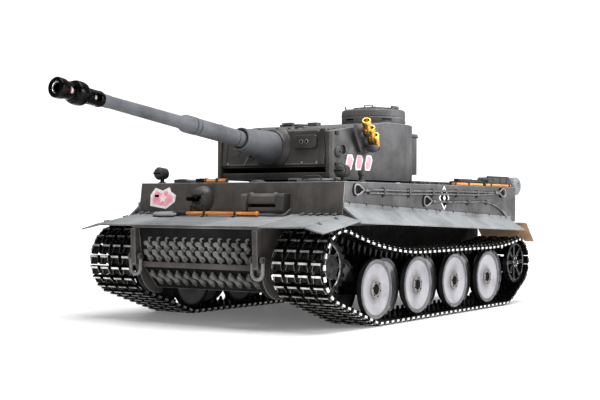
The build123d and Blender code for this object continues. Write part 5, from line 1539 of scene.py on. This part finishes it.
def discharger_set():
    """Three brass launching tubes on a bracket, on the left side of the turret."""
    pieces = []
    for x, z in ((-42.0, 153.0), (-48.5, 147.5), (-55.0, 142.0)):
        tube = turned([(-5.5, 0), (-5.5, 2.5), (-4.9, 2.75), (-2.0, 2.75), (-1.8, 3.0), (-1.0, 3.0),
                       (-0.8, 2.75), (3.0, 2.75), (3.3, 3.05),
                       (4.4, 3.1), (4.8, 2.9), (5.3, 2.8), (5.3, 2.1), (0, 2.0), (-1, 0)], (0, 0, 0), "X",
                      28)
        cap = turned([(-0.6, 0), (-0.6, 1.95), (-0.2, 1.5), (0.1, 0)], (3.0, 0, 0), "X", 20)
        lean = (Matrix.Translation((x, 72.5, z)) @ Matrix.Rotation(math.radians(tube_yaw), 4, "Z")
                @ Matrix.Rotation(math.radians(-tube_pitch), 4, "Y") @ Matrix.Scale(tube_size, 4))
        for shape, material in ((smooth(tube, 40), brass), (cap, brass)):
            finish_in(shape, material)
            shape.data.transform(lean)
            pieces.append(shape)
        cup = turned([(-7.0, 0), (-7.0, 1.7), (-6.4, 2.9), (-4.6, 3.0), (-4.2, 2.7), (-4.2, 0)],
                     (0, 0, 0), "X", 24)
        cup.data.transform(lean)
        pieces.append(finish_in(smooth(cup, 40), dark_paint))
    base = turned([(-3.2, 0), (-2.8, 2.6), (-1.2, 4.4), (1.2, 5.0), (2.4, 4.9), (2.9, 4.2), (2.9, 0)],
                  (-53.0, 71.0, 136.0), "Z", 32)
    pieces.append(finish_in(smooth(base, 50), hull_paint))
    wall = 61.0
    plate = outline([(-60.0, 133.0), (-47.0, 133.0), (-36.5, 150.0), (-38.0, 155.0), (-43.0, 156.0),
                     (-60.0, 141.0)], "XZ", wall + 1.6, 1.6)
    pieces.append(finish_in(edged(plate, 0.3), hull_paint, edge_paint))
    for x, z in ((-43.5, 150.5), (-50.0, 145.0), (-56.5, 139.5)):
        pieces.append(finish_in(soften(block((x - 1.8, wall - 0.5, z - 1.8), (x + 1.8, 72.0, z + 1.2)),
                                       0.4, 2), hull_paint))
    return join(*pieces)


tubes = discharger_set()
into_frame(mirrored(tubes), "right_smoke_dischargers", "turret", "discharger_brass", "smoke_dischargers")
into_frame(tubes, "left_smoke_dischargers", "turret", "discharger_brass", "smoke_dischargers")

# %% [markdown]
# # The gun
# The mantlet, barrel and muzzle brake are drawn along X from the trunnions, where a
# lathe profile is easy to read, and then tipped to the gun's resting angle. The
# mantlet moves with the cradle; the barrel and its brake recoil inside the sleeve.

# %% Aim along the bore
trunnion = Vector((-30.0, 0, 134.65))
bore_rise = 6.9
aim = Matrix.Translation(trunnion) @ turn_about("Y", -bore_rise)


def aimed(obj):
    """Tips a piece drawn along X to the gun's resting angle."""
    obj.data.transform(aim)
    return obj

# %% [markdown]
# The gun front comes from the frame. Its ring and sleeve are spun and overlap it.

# %% Mantlet
mantlet_face = 16.0
mantlet = copy_node("gun_mantlet", mantlet_paint, dark_edge, barrel_paint)
along_bore = aim.to_3x3() @ Vector((1, 0, 0))
repaint(mantlet, 2, lambda p: (p.center - trunnion).dot(along_bore) > 18)
mantlet = edged(mantlet, 0.5, 3)
parts = []
flange = turned([(mantlet_face - 1, 13), (mantlet_face - 1, 19.0), (mantlet_face + 0.4, 18.6),
                 (mantlet_face + 1.6, 17.4),
                 (mantlet_face + 2.8, 15.2), (mantlet_face + 4.4, 13.9), (mantlet_face + 4.4, 12.2)],
                (0, 0, 0), "X", 64, ring=True)
for vertex in flange.data.vertices:
    vertex.co.z = max(-15.0, min(15.0, vertex.co.z))
parts.append(finish_in(smooth(flange, 50), mantlet_paint))
sleeve = turned([(mantlet_face, 9.5), (mantlet_face, 14.2), (19, 13.0), (28, 12.3), (44, 10.2),
                 (54.5, 9.0), (55.0, 8.6), (55.6, 8.6),
                 (56.0, 9.1), (59.2, 9.1), (60.0, 8.8), (60.0, 8.3), (52.0, 8.3), (52.0, 6.6), (30, 6.6)],
                (0, 0, 0), "X", 64, ring=True)
parts.append(finish_in(smooth(sleeve, 40), barrel_paint))
# The gap round the barrel is near black: painted shade.
gap = turned([(51.5, 6.5), (51.5, 8.35), (59.8, 8.35), (59.8, 7.9), (52.2, 7.9), (52.2, 6.5)], (0, 0, 0),
             "X", 48, ring=True)
parts.append(finish_in(smooth(gap), shade_and_print_black))
pad = outline([(23.0, -1.5), (42.0, -1.5), (43.5, 0), (43.5, 8.0), (42.0, 9.5), (24.5, 9.5), (23.0, 8.0)],
              "YZ", mantlet_face - 0.5, 3.0)
parts.append(finish_in(edged(pad, 0.8, 3), mantlet_paint, dark_edge))
# The sight holes are near black: painted shade.
for y in (29.6, 34.6):
    hole = turned([(0, 0), (0, 1.15), (0.35, 1.15), (0.35, 0)], (mantlet_face + 2.25, y, 4.0), "X", 20)
    parts.append(finish_in(hole, shade_and_print_black))
    rim = turned([(0, 1.2), (0, 1.75), (0.5, 1.6), (0.6, 1.2)], (mantlet_face + 2.3, y, 4.0), "X", 24,
                 ring=True)
    parts.append(finish_in(smooth(rim, 60), edge_paint))
coax = turned([(-1, 1.7), (-1, 3.6), (0.9, 3.4), (1.4, 2.7), (1.2, 1.7)], (mantlet_face, -20.0, -6.5),
              "X", 28, ring=True)
parts.append(finish_in(smooth(coax, 60), mantlet_paint))
# The coaxial gun's mouth is a near-black disc: painted shade.
parts.append(finish_in(rod((mantlet_face + 0.3, -20.0, -6.5), 1.75, 1.0, "X", 20), shade_and_print_black))
for side in (1, -1):
    band = block((-6, side * 45.6, -14.6), (mantlet_face + 0.9, side * 50.2, 14.6))
    parts.append(finish_in(edged(band, 0.7, 3), mantlet_paint, dark_edge))
    panel = outline([(side * 37 + y, z)
                     for y, z in ((-4.5, -6.5), (3.5, -6.5), (4.5, -5.5), (4.5, 5.5), (3.5, 6.5),
                                  (-3.5, 6.5), (-4.5, 5.5))],
                    "YZ", mantlet_face - 0.4, 0.9) if side < 0 else None
    if panel:
        parts.append(finish_in(edged(panel, 0.3), mantlet_paint, dark_edge))
rib = outline([(-23.0, -5.0), (-21.8, -4.4), (-26.2, -16.0 + 2.0), (-27.6, -13.8)], "YZ",
              mantlet_face - 0.3, 1.0)
parts.append(finish_in(soften(rib, 0.25, 1), edge_paint))
for y, z in ((-44, 12.6), (-30, 12.6), (44, 12.6), (30, -12.4), (44, -12.4), (-44, -12.4)):
    parts.append(finish_in(soften(rod((mantlet_face + 0.2, y, z), 1.0, 1.0, "X", 6), 0.15, 1), edge_paint))
into_frame(join(mantlet, *[aimed(p) for p in parts]), "gun_mantlet_and_sleeve", "gun_cradle",
           "hull_paint", "gun_mantlet")

# %% [markdown]
# A barrel is the plainest lathe job: one profile with a step and a collar.

# %% Barrel
barrel = turned([(-24, 0), (-24, 6.35), (61.0, 6.35), (62.0, 6.4), (66, 6.4), (66.3, 6.15), (66.9, 6.15),
                 (67.2, 6.4), (112.5, 6.4), (113, 6.0),
                 (113.9, 6.0), (114.3, 6.55), (118.0, 6.65), (118.3, 6.3), (118.9, 6.3), (119.2, 6.65),
                 (126.6, 6.6), (128.2, 6.2),
                 (130.5, 5.1), (132.0, 4.75), (160, 4.6), (207, 4.25), (207.5, 4.5), (215, 4.5),
                 (215.0, 0)], (0, 0, 0), "X", 56)
barrel = finish_in(smooth(barrel, 28), barrel_paint)
rings = []
# Thin near-black rings paint the shade in the joints between the barrel's sections.
for along, radius in ((66.6, 6.25), (113.4, 6.1), (118.6, 6.4)):
    rings.append(finish_in(smooth(rod((along, 0, 0), radius, 0.5, "X", 48)), shade_and_print_black))
into_frame(join(aimed(barrel), *[aimed(r) for r in rings]), "gun_barrel_tube", "gun_tube", "hull_paint",
           "gun_barrel")

# %% [markdown]
# The brake is cut in the frame; rings and a thin bright mouth are added.

# %% Muzzle brake
brake = soften(copy_node("muzzle_brake", gun_black, gun_worn), 0.14, 2, 28)
parts = []
for along, radius in ((217.5, 5.6), (228.6, 5.6), (243.0, 6.7)):
    parts.append(finish_in(soften(rod((along, 0, 0), radius, 0.9, "X", 40), 0.2, 1), gun_black))
ring = turned([(254.2, 3.2), (254.2, 3.8), (255.4, 4.1), (256.1, 4.0), (256.1, 3.6), (255.6, 3.2)],
              (0, 0, 0), "X", 44, ring=True)
parts.append(finish_in(smooth(ring, 50), chrome))
# Inside the brake: a worn gold ring, then a white ring and a red ring that are painted glints seen through
# the slots.
for along, material in ((223, gun_worn), (244.5, white_paint), (247.5, red_glint_paint)):
    throat = turned([(along - 1.0, 2.8), (along - 1.0, 3.6), (along + 1.0, 3.6), (along + 1.0, 2.8)],
                    (0, 0, 0), "X", 32, ring=True)
    parts.append(finish_in(smooth(throat), material))
into_frame(join(brake, *[aimed(p) for p in parts]), "muzzle_brake_casting", "gun_tube", "gun_black",
           "muzzle_brake")

# %% [markdown]
# # Tools, cables and markings
# Tools are strapped to the hull: a hammer and a shovel at the front, and poles along
# the roof. They are bought-in details on the real model, brighter than the hull, so
# their orange wood is the first colour that the eye meets.


# %% Hammer and shovel
def strap(x, y, z, reach, height, width=1.6):
    """A clip over a tool that lies across the hull."""
    loop = outline([(x - reach, z), (x - reach, z + height * 0.7), (x - reach * 0.6, z + height),
                    (x + reach * 0.6, z + height),
                    (x + reach, z + height * 0.7), (x + reach, z), (x + reach - 0.5, z),
                    (x + reach - 0.6, z + height * 0.62),
                    (x + reach * 0.5, z + height - 0.6), (x - reach * 0.5, z + height - 0.6),
                    (x - reach + 0.6, z + height * 0.62),
                    (x - reach + 0.5, z)], "XZ", y - width / 2, width)
    return finish_in(soften(loop, 0.12, 1), dark_paint)


hammer_x = 27.6
head = outline([(-43.0, 0.0), (-36.2, 0.0), (-36.2, 3.5), (-38.4, 3.6), (-40.0, 3.2), (-43.0, 3.4)], "YZ",
               hammer_x - 3.4, 6.8)
head.data.transform(Matrix.Translation((0, 0, roof_z)))
shaft = [finish_in(smooth(rod((hammer_x, y, roof_z + 1.7), 1.5, length, "Y", 24)), wood_across)
         for y, length in ((-29.6, 12.6), (-18.0, 8.4))]
grip = finish_in(smooth(rod((hammer_x, -13.9, roof_z + 1.7), 1.6, 1.0, "Y", 20)), dark_paint)
wedge = outline([(-65.0, 0.0), (-52.0, 0.0), (-52.0, 1.4), (-56.0, 3.2), (-62.0, 3.2), (-65.0, 1.8)],
                "YZ", hammer_x - 2.4, 4.8)
wedge.data.transform(Matrix.Translation((0, 0, roof_z)))
hammer = join(finish_in(edged(head, 0.4), gun_black, gun_worn), *shaft, grip,
              finish_in(soften(wedge, 0.4, 2), dark_paint),
              strap(hammer_x, -22.8, roof_z, 2.3, 3.8, 2.2), strap(hammer_x, -34.2, roof_z, 2.2, 3.7, 1.4))
into_frame(hammer, "hammer", "hull", "tool_wood", "hull_tools")


deck_foot_x, deck_foot_z = 36.0, 83.4
deck_run, deck_fall = 51.0, 8.1


def glacis_z(x):
    """Height of the sloping front deck at x."""
    return deck_foot_z - deck_fall * (x - deck_foot_x) / deck_run


shovel_x = 47.0
shovel_z = glacis_z(shovel_x)
tilt = math.degrees(math.atan2(deck_fall, deck_run))
blade = outline([(-7.4, -47.0), (7.4, -47.0), (7.6, -49.0), (7.2, -62.0), (4.6, -70.0), (0, -73.0),
                 (-4.6, -70.0), (-7.2, -62.0), (-7.6, -49.0)],
                "XY", 0.9, 1.0)
with editing(blade):
    choose(blade, "faces", lambda f: f.normal.z > 0.9)
    bpy.ops.mesh.inset(thickness=1.4)
    bpy.ops.transform.translate(value=(0, 0, 0.9))
socket = turned([(-52.5, 0), (-52.0, 1.3), (-46.0, 1.9), (-38.5, 1.8), (-38.0, 0)], (0, 0, 2.3), "Y", 20)
pole = finish_in(smooth(rod((0, -5.0, 2.3), 1.35, 68.0, "Y", 24)), wood_across)
grip = finish_in(smooth(turned([(28.5, 0), (28.5, 1.6), (30.2, 1.8), (31.2, 1.5), (31.6, 0)], (0, 0, 2.3),
                               "Y", 20)), wood_across)
parts = [finish_in(edged(blade, 0.25), guard_paint, gun_worn), finish_in(smooth(socket), dark_paint),
         pole, grip]
for y in (-20.0, 10.0):
    parts.append(strap(0, y, 0.1, 2.3, 4.2, 1.6))
    parts.append(finish_in(soften(block((2.2, y - 0.8, 0), (5.2, y + 0.8, 1.2)), 0.2, 1), dark_paint))
shovel = join(*parts)
shovel.data.transform(Matrix.Translation((shovel_x, 0, shovel_z)) @ turn_about("Y", tilt))
into_frame(shovel, "shovel", "hull", "tool_wood", "hull_tools")

# %% [markdown]
# Poles are rods in small feet; the feet repeat with varied heights.

# %% Poles, brackets and boxes on the roof
items = []
left_y = hull_half - 3.0
for low_x, high_x in ((-266.0, -212.0), (-205.0, -147.0)):
    items.append(finish_in(smooth(rod(((low_x + high_x) / 2, left_y, roof_z + 1.3), 1.2, high_x - low_x,
                                      "X", 20)), wood_along))
for x in (-262, -222, -209, -176, -150):
    clip = block((x - 1.2, left_y - 1.8, roof_z), (x + 1.2, left_y + 1.8, roof_z + 2.7))
    items.append(finish_in(soften(clip, 0.35, 2), dark_paint))
items.append(finish_in(smooth(rod((-149, -left_y, roof_z + 1.3), 1.2, 178, "X", 20)), dark_paint))
for x in (-232, -190, -149, -108, -66):
    clip = block((x - 1.2, -left_y - 1.8, roof_z), (x + 1.2, -left_y + 1.8, roof_z + 2.7))
    items.append(finish_in(soften(clip, 0.35, 2), hull_paint))
for y, low_x, high_x, radius, lift in ((88.0, -150, -84, 1.25, 1.5), (84.0, -168, -96, 1.1, 1.3),
                                       (89.5, -222, -172, 1.3, 3.6),
                                       (85.0, -232, -176, 1.5, 4.6), (81.0, -214, -180, 1.2, 5.4)):
    items.append(finish_in(smooth(rod(((low_x + high_x) / 2, y, roof_z + lift), radius, high_x - low_x,
                                      "X", 16)), dark_paint))
for x, height in ((-222, 5.4), (-203, 5.0), (-186, 5.6), (-172, 4.2), (-160, 2.6), (-148, 2.7),
                  (-130, 2.4), (-112, 2.7), (-97, 2.6), (-86, 2.6)):
    foot = outline([(78.5, 0), (92.0, 0), (92.0, height * 0.55), (89.0, height), (81.0, height),
                    (78.5, height * 0.6)], "YZ", x - 1.4, 2.8)
    foot.data.transform(Matrix.Translation((0, 0, roof_z)))
    items.append(finish_in(edged(foot, 0.4), dark_paint, olive_paint))
for x, length, height in ((-194, 10.0, 4.4), (-178, 5.0, 5.0), (-138, 9.0, 2.4), (-104, 7.0, 2.3),
                          (-213, 6.0, 5.2)):
    lump = outline([(x - length / 2, 0), (x + length / 2, 0), (x + length / 2, height * 0.7),
                    (x + length * 0.28, height), (x - length * 0.4, height * 0.92),
                    (x - length / 2, height * 0.5)], "XZ", 83.0, 9.0)
    lump.data.transform(Matrix.Translation((0, 0, roof_z)))
    items.append(finish_in(edged(lump, 0.5, 3), dark_paint, olive_paint))
into_frame(join(*items), "roof_poles_and_brackets", "hull", "tool_wood", "hull_tools")

crate = outline([(-271.5, 0), (-222, 0), (-222, 6.4), (-225.0, 8.6), (-268, 8.6), (-270.6, 7.0),
                 (-271.5, 4.2)], "XZ", 82.2, 11.6)
crate.data.transform(Matrix.Translation((0, 0, roof_z)))
parts = [finish_in(edged(crate, 0.5), tub_paint, edge_paint)]
for x in (-232, -247, -262):
    band = block((x - 1.2, 81.9, roof_z), (x + 1.2, 94.1, roof_z + 8.75))
    parts.append(finish_in(soften(band, 0.3, 1), dark_paint))
rail = finish_in(smooth(rod((-247, 92.0, roof_z + 9.0), 0.8, 46, "X", 14)), dark_paint)
parts.append(rail)
into_frame(join(*parts), "rear_roof_box", "hull", "hull_paint", "hull_fittings")

loop_path = [(28, 58, roof_z + 0.2), (28, 58.4, roof_z + 3.4), (28, 60.5, roof_z + 4.4),
             (28, 72.5, roof_z + 4.4), (28, 74.6, roof_z + 3.4), (28, 75, roof_z + 0.2)]
feet = [finish_in(soften(block((26, y - 1.6, roof_z), (30, y + 1.6, roof_z + 0.8)), 0.2, 1), hull_paint)
        for y in (58, 75)]
into_frame(join(bent_bar(loop_path, 0.55, dark_paint), *feet), "front_roof_loop", "hull", "hull_paint")

# %% [markdown]
# ## Tow cables
# A tow cable is a rope of twisted steel, held flat against the side by clips and
# ending in forged eyes. Its line is one smooth curve. The strands are wound round the
# points of that curve, a sixth of a turn apart, so the twist is real shape.


# %% Twisted cable
def route_points(points, steps=14):
    """Points along a smooth line through the frame, in millimetres."""
    curve = bpy.data.curves.new("route", "CURVE")
    curve.dimensions = "3D"
    line = curve.splines.new("NURBS")
    line.points.add(len(points) - 1)
    for point, place in zip(line.points, points):
        point.co = (*place, 1)
    line.order_u = 3
    line.use_endpoint_u = True
    line.resolution_u = steps
    holder = bpy.data.objects.new("route", curve)
    mesh = bpy.data.meshes.new_from_object(holder)
    places = [v.co.copy() for v in mesh.vertices]
    bpy.data.objects.remove(holder)
    bpy.data.meshes.remove(mesh)
    return places


def rope(points, radius, pitch=7.0, strands=6, per_turn=8):
    """A laid rope: strands wound round a smooth line."""
    path = route_points(points, 40)
    lengths = [0.0]
    for a, b in zip(path, path[1:]):
        lengths.append(lengths[-1] + (b - a).length)
    count = int(lengths[-1] / pitch * per_turn)
    centres, at = [], 0
    for i in range(count + 1):
        wanted = lengths[-1] * i / count
        while at < len(lengths) - 2 and lengths[at + 1] < wanted:
            at += 1
        share = (wanted - lengths[at]) / max(1e-6, lengths[at + 1] - lengths[at])
        centres.append(path[at].lerp(path[at + 1], min(1, share)))
    made = []
    for strand in range(strands):
        line = []
        for i, centre in enumerate(centres):
            along = (centres[min(i + 1, count)] - centres[max(i - 1, 0)]).normalized()
            across = along.cross(Vector((0, 1, 0))).normalized()
            angle = 2 * math.pi * (i / per_turn + strand / strands)
            out = Vector((0, 1, 0)) * math.sin(angle)
            line.append(centre + (across * math.cos(angle) + out) * radius * 0.55)
        made.append(bent_bar(line, radius * 0.45, cable_steel, resolution=1))
    return join(*made)


def cable_eye(x, z, turn, y):
    """A forged teardrop eye and its ferrule, lying flat on the side, pointing forward."""
    ring = [(6.0, y, 0), (5.4, y, 2.8), (2.6, y, 4.1), (-1.5, y, 3.3), (-6.2, y, 1.0), (-8.2, y, 0),
            (-6.2, y, -1.0), (-1.5, y, -3.3),
            (2.6, y, -4.1), (5.4, y, -2.8)]
    loop = bent_bar(ring, 0.65, edge_paint, closed=True, kind="NURBS", resolution=3)
    ferrule = turned([(-17, 0), (-17, 1.2), (-15.5, 1.7), (-9.5, 1.9), (-8.0, 1.6), (-7.4, 0)], (0, y, 0),
                     "X", 20)
    eye = join(loop, finish_in(smooth(ferrule), cable_steel))
    eye.data.transform(Matrix.Translation((x, 0, z)) @ turn_about("Y", turn))
    return eye

# %% [markdown]
# Each cable follows points chosen along the side, with an eye at each end.

# %% Lay the cables
cable_y = hull_half + 1.3
upper_z = roof_z - 5.5
parts = []
for drop, out in ((0.0, 0.0), (2.6, 0.1)):
    line = [(1.0, cable_y + out, upper_z - drop), (-30, cable_y + out, upper_z - 0.2 - drop),
            (-60, cable_y + out, upper_z - 0.4 - drop),
            (-105, cable_y + out, upper_z + 0.1 - drop), (-150, cable_y + out, upper_z + 0.3 - drop),
            (-190, cable_y + out, upper_z - drop),
            (-222, cable_y + out, upper_z - drop * 0.5)]
    parts.append(rope(line, 0.95))
low = [(-108.0, cable_y, 94.0), (-128.0, cable_y, 93.2), (-150.0, cable_y, 94.2), (-172.0, cable_y, 93.2),
       (-195.0, cable_y, 94.6),
       (-212.0, cable_y, 93.2), (-226.0, cable_y, 90.6), (-240.0, cable_y, 85.4)]
parts.append(rope(low, 0.95))
hook_line = [(-238, cable_y, 86.2), (-243, cable_y, 84.0), (-247, cable_y, 81.8), (-248.5, cable_y, 79.6)]
parts.append(bent_bar(hook_line, 1.25, guard_paint, kind="NURBS"))
for x, z, turn in ((15.8, upper_z - 0.4, 0), (-92.5, 94.0, 0), (-240, upper_z, 180)):
    parts.append(cable_eye(x, z, turn, hull_half + 1.6))
    # Under each eye a thin near-black plate, a little larger than the eye, is its painted shadow on the
    # side.
    seat = outline([(x - 6.6, z), (x - 1.0, z - 4.3), (x + 4.6, z - 4.6), (x + 6.9, z),
                    (x + 4.6, z + 4.6), (x - 1.0, z + 4.3)], "XZ", hull_half - 0.05, 0.3)
    parts.append(finish_in(seat, shade_black_paint))
for x, z, tall in ((-22, upper_z - 1.4, 3.9), (-62, upper_z - 1.6, 3.9), (-102, upper_z - 1.2, 3.9),
                   (-146, upper_z - 1.1, 3.9),
                   (-186, upper_z - 1.3, 3.9), (-128, 93.4, 2.4), (-168, 93.4, 2.4), (-206, 93.7, 2.4)):
    clip = block((x - 1.3, hull_half - 0.05, z - tall), (x + 1.3, cable_y + 1.5, z + tall - 0.6))
    parts.append(finish_in(edged(clip, 0.4), hull_paint, edge_paint))
    parts.append(finish_in(rod((x, cable_y + 1.6, z - tall + 1.0), 0.5, 0.5, "Y", 8), dark_paint))
into_frame(join(*parts), "left_tow_cables", "hull", "cable_steel", "tow_cables")

line = [(0.0, -cable_y, upper_z), (-60, -cable_y, upper_z - 0.6), (-150, -cable_y, upper_z + 0.4),
        (-232, -cable_y, upper_z)]
parts = [rope(line, 0.95)]
for x, turn in ((15.8, 0), (-250, 180)):
    parts.append(cable_eye(x, upper_z, turn, -hull_half - 1.6))
for x in (-30, -90, -150, -210):
    clip = block((x - 1.3, -cable_y - 1.5, upper_z - 2.4), (x + 1.3, -hull_half + 0.05, upper_z + 2.4))
    parts.append(finish_in(edged(clip, 0.4), hull_paint, edge_paint))
into_frame(join(*parts), "right_tow_cable", "hull", "cable_steel", "tow_cables")

# %% [markdown]
# ## Markings
# Markings on the real model are printed patches. They are made here as thin plates of
# plain shapes in the same colours and sizes, so that the colour balance is right and
# no badge or number of the real one is copied.


# %% Plain markings
def patch(points, place, out, material, thick=0.16):
    """A thin marking plate: (u, v) points on a plane through place, facing out."""
    sheet = outline(points, "YZ", 0.0, thick)
    out = Vector(out).normalized()
    across = Vector((0, 0, 1)).cross(out).normalized()
    up = out.cross(across)
    frame_of = Matrix((out, across, up)).transposed().to_4x4()
    sheet.data.transform(Matrix.Translation(place) @ frame_of)
    return finish_in(sheet, material)


def rounded(width, height, corner=0.8):
    """A rectangle with cut corners, about its centre."""
    w, h, c = width / 2, height / 2, corner
    return [(-w + c, -h), (w - c, -h), (w, -h + c), (w, h - c), (w - c, h), (-w + c, h), (-w, h - c),
            (-w, -h + c)]


def star(radius, inner, points=5, turn=90.0):
    """A plain star outline."""
    return [((radius if i % 2 == 0 else inner) * math.cos(math.radians(turn + 180 * i / points)),
             (radius if i % 2 == 0 else inner) * math.sin(math.radians(turn + 180 * i / points)))
            for i in range(2 * points)]


marks = []
cheek_out = Vector((13.05, 78.6, 0)).normalized()
for side in (1, -1):
    for x in (-38.0, -49.5, -61.0):
        place = (x, side * (cheek_y(x) + 0.02), 124.8)
        face = (cheek_out.x, side * cheek_out.y, 0)
        marks.append(patch([(u * 1.0, v)
                            for u, v in ((-4.6, -6.2), (1.6, -6.2), (4.8, 2.4), (3.0, 6.2), (-2.6, 6.2),
                                         (-4.8, -1.0))],
                           place, face, white_paint, 0.14))
        marks.append(patch([(-3.2, -4.8), (0.8, -4.8), (3.4, 2.2), (2.2, 4.8), (-1.6, 4.8), (-3.4, -1.0)],
                           place, face, pink_paint, 0.24))
turret_marks = join(*marks)
into_frame(turret_marks, "turret_markings", "turret", "marking_paint")

marks = []
front_out = (roof_z - front_foot_z, 0, front_foot_x - front_top_x)
emblem = (plate_front_x(95.5) + 0.02, -74.0, 95.5)
marks.append(patch([(-13, -6.2), (4, -8.6), (12.6, -3.0), (13.4, 2.6), (8.0, 5.4), (6.0, 9.2),
                    (-1.0, 6.4), (-9.0, 8.8), (-13.6, 3.0)],
                   emblem, front_out, white_paint, 0.16))
marks.append(patch([(-10.6, -4.4), (3.4, -6.4), (10.0, -2.2), (10.4, 1.6), (5.6, 3.4), (4.0, 6.4),
                    (-1.2, 4.0), (-7.8, 6.2), (-10.8, 2.0)],
                   emblem, front_out, pink_paint, 0.24))
marks.append(patch(star(4.6, 2.1), emblem, front_out, white_paint, 0.32))
marks.append(patch(rounded(4.4, 2.0, 0.4), (emblem[0], emblem[1] - 6.6, emblem[2] + 2.0), front_out,
                   shade_and_print_black, 0.32))
for side in (1, -1):
    place = (-125.0, side * (hull_half + 0.02), 96.8)
    diamond = [(-0.5, 0), (0, -0.5), (0.5, 0), (0, 0.5)]
    for width, height, material, thick in ((19.0, 20.6, white_paint, 0.14),
                                           (14.6, 16.0, shade_and_print_black, 0.22), (5.0, 6.0, white_paint, 0.3)):
        marks.append(patch([(u * width, v * height) for u, v in diamond], place, (0, side, 0), material,
                           thick))
into_frame(join(*marks), "hull_markings", "hull", "marking_paint")

# %% [markdown]
# ## Inside the hull
# The motors, battery and circuit board are only seen when the hatches are open. Their
# frame shapes stay, with finishes of their own.

# %% Finishes for what stays from the frame
for node, material in (("drive_units", motor_steel), ("battery_pack", battery_wrap),
                       ("control_board", board_green)):
    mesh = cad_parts[node].data
    mesh.materials.clear()
    mesh.materials.append(material)
    print(node, "wears", material.name)

# %% Finish
bpy.context.scene.view_settings.view_transform = "Standard"
bpy.context.scene.view_settings.look = "Medium High Contrast"
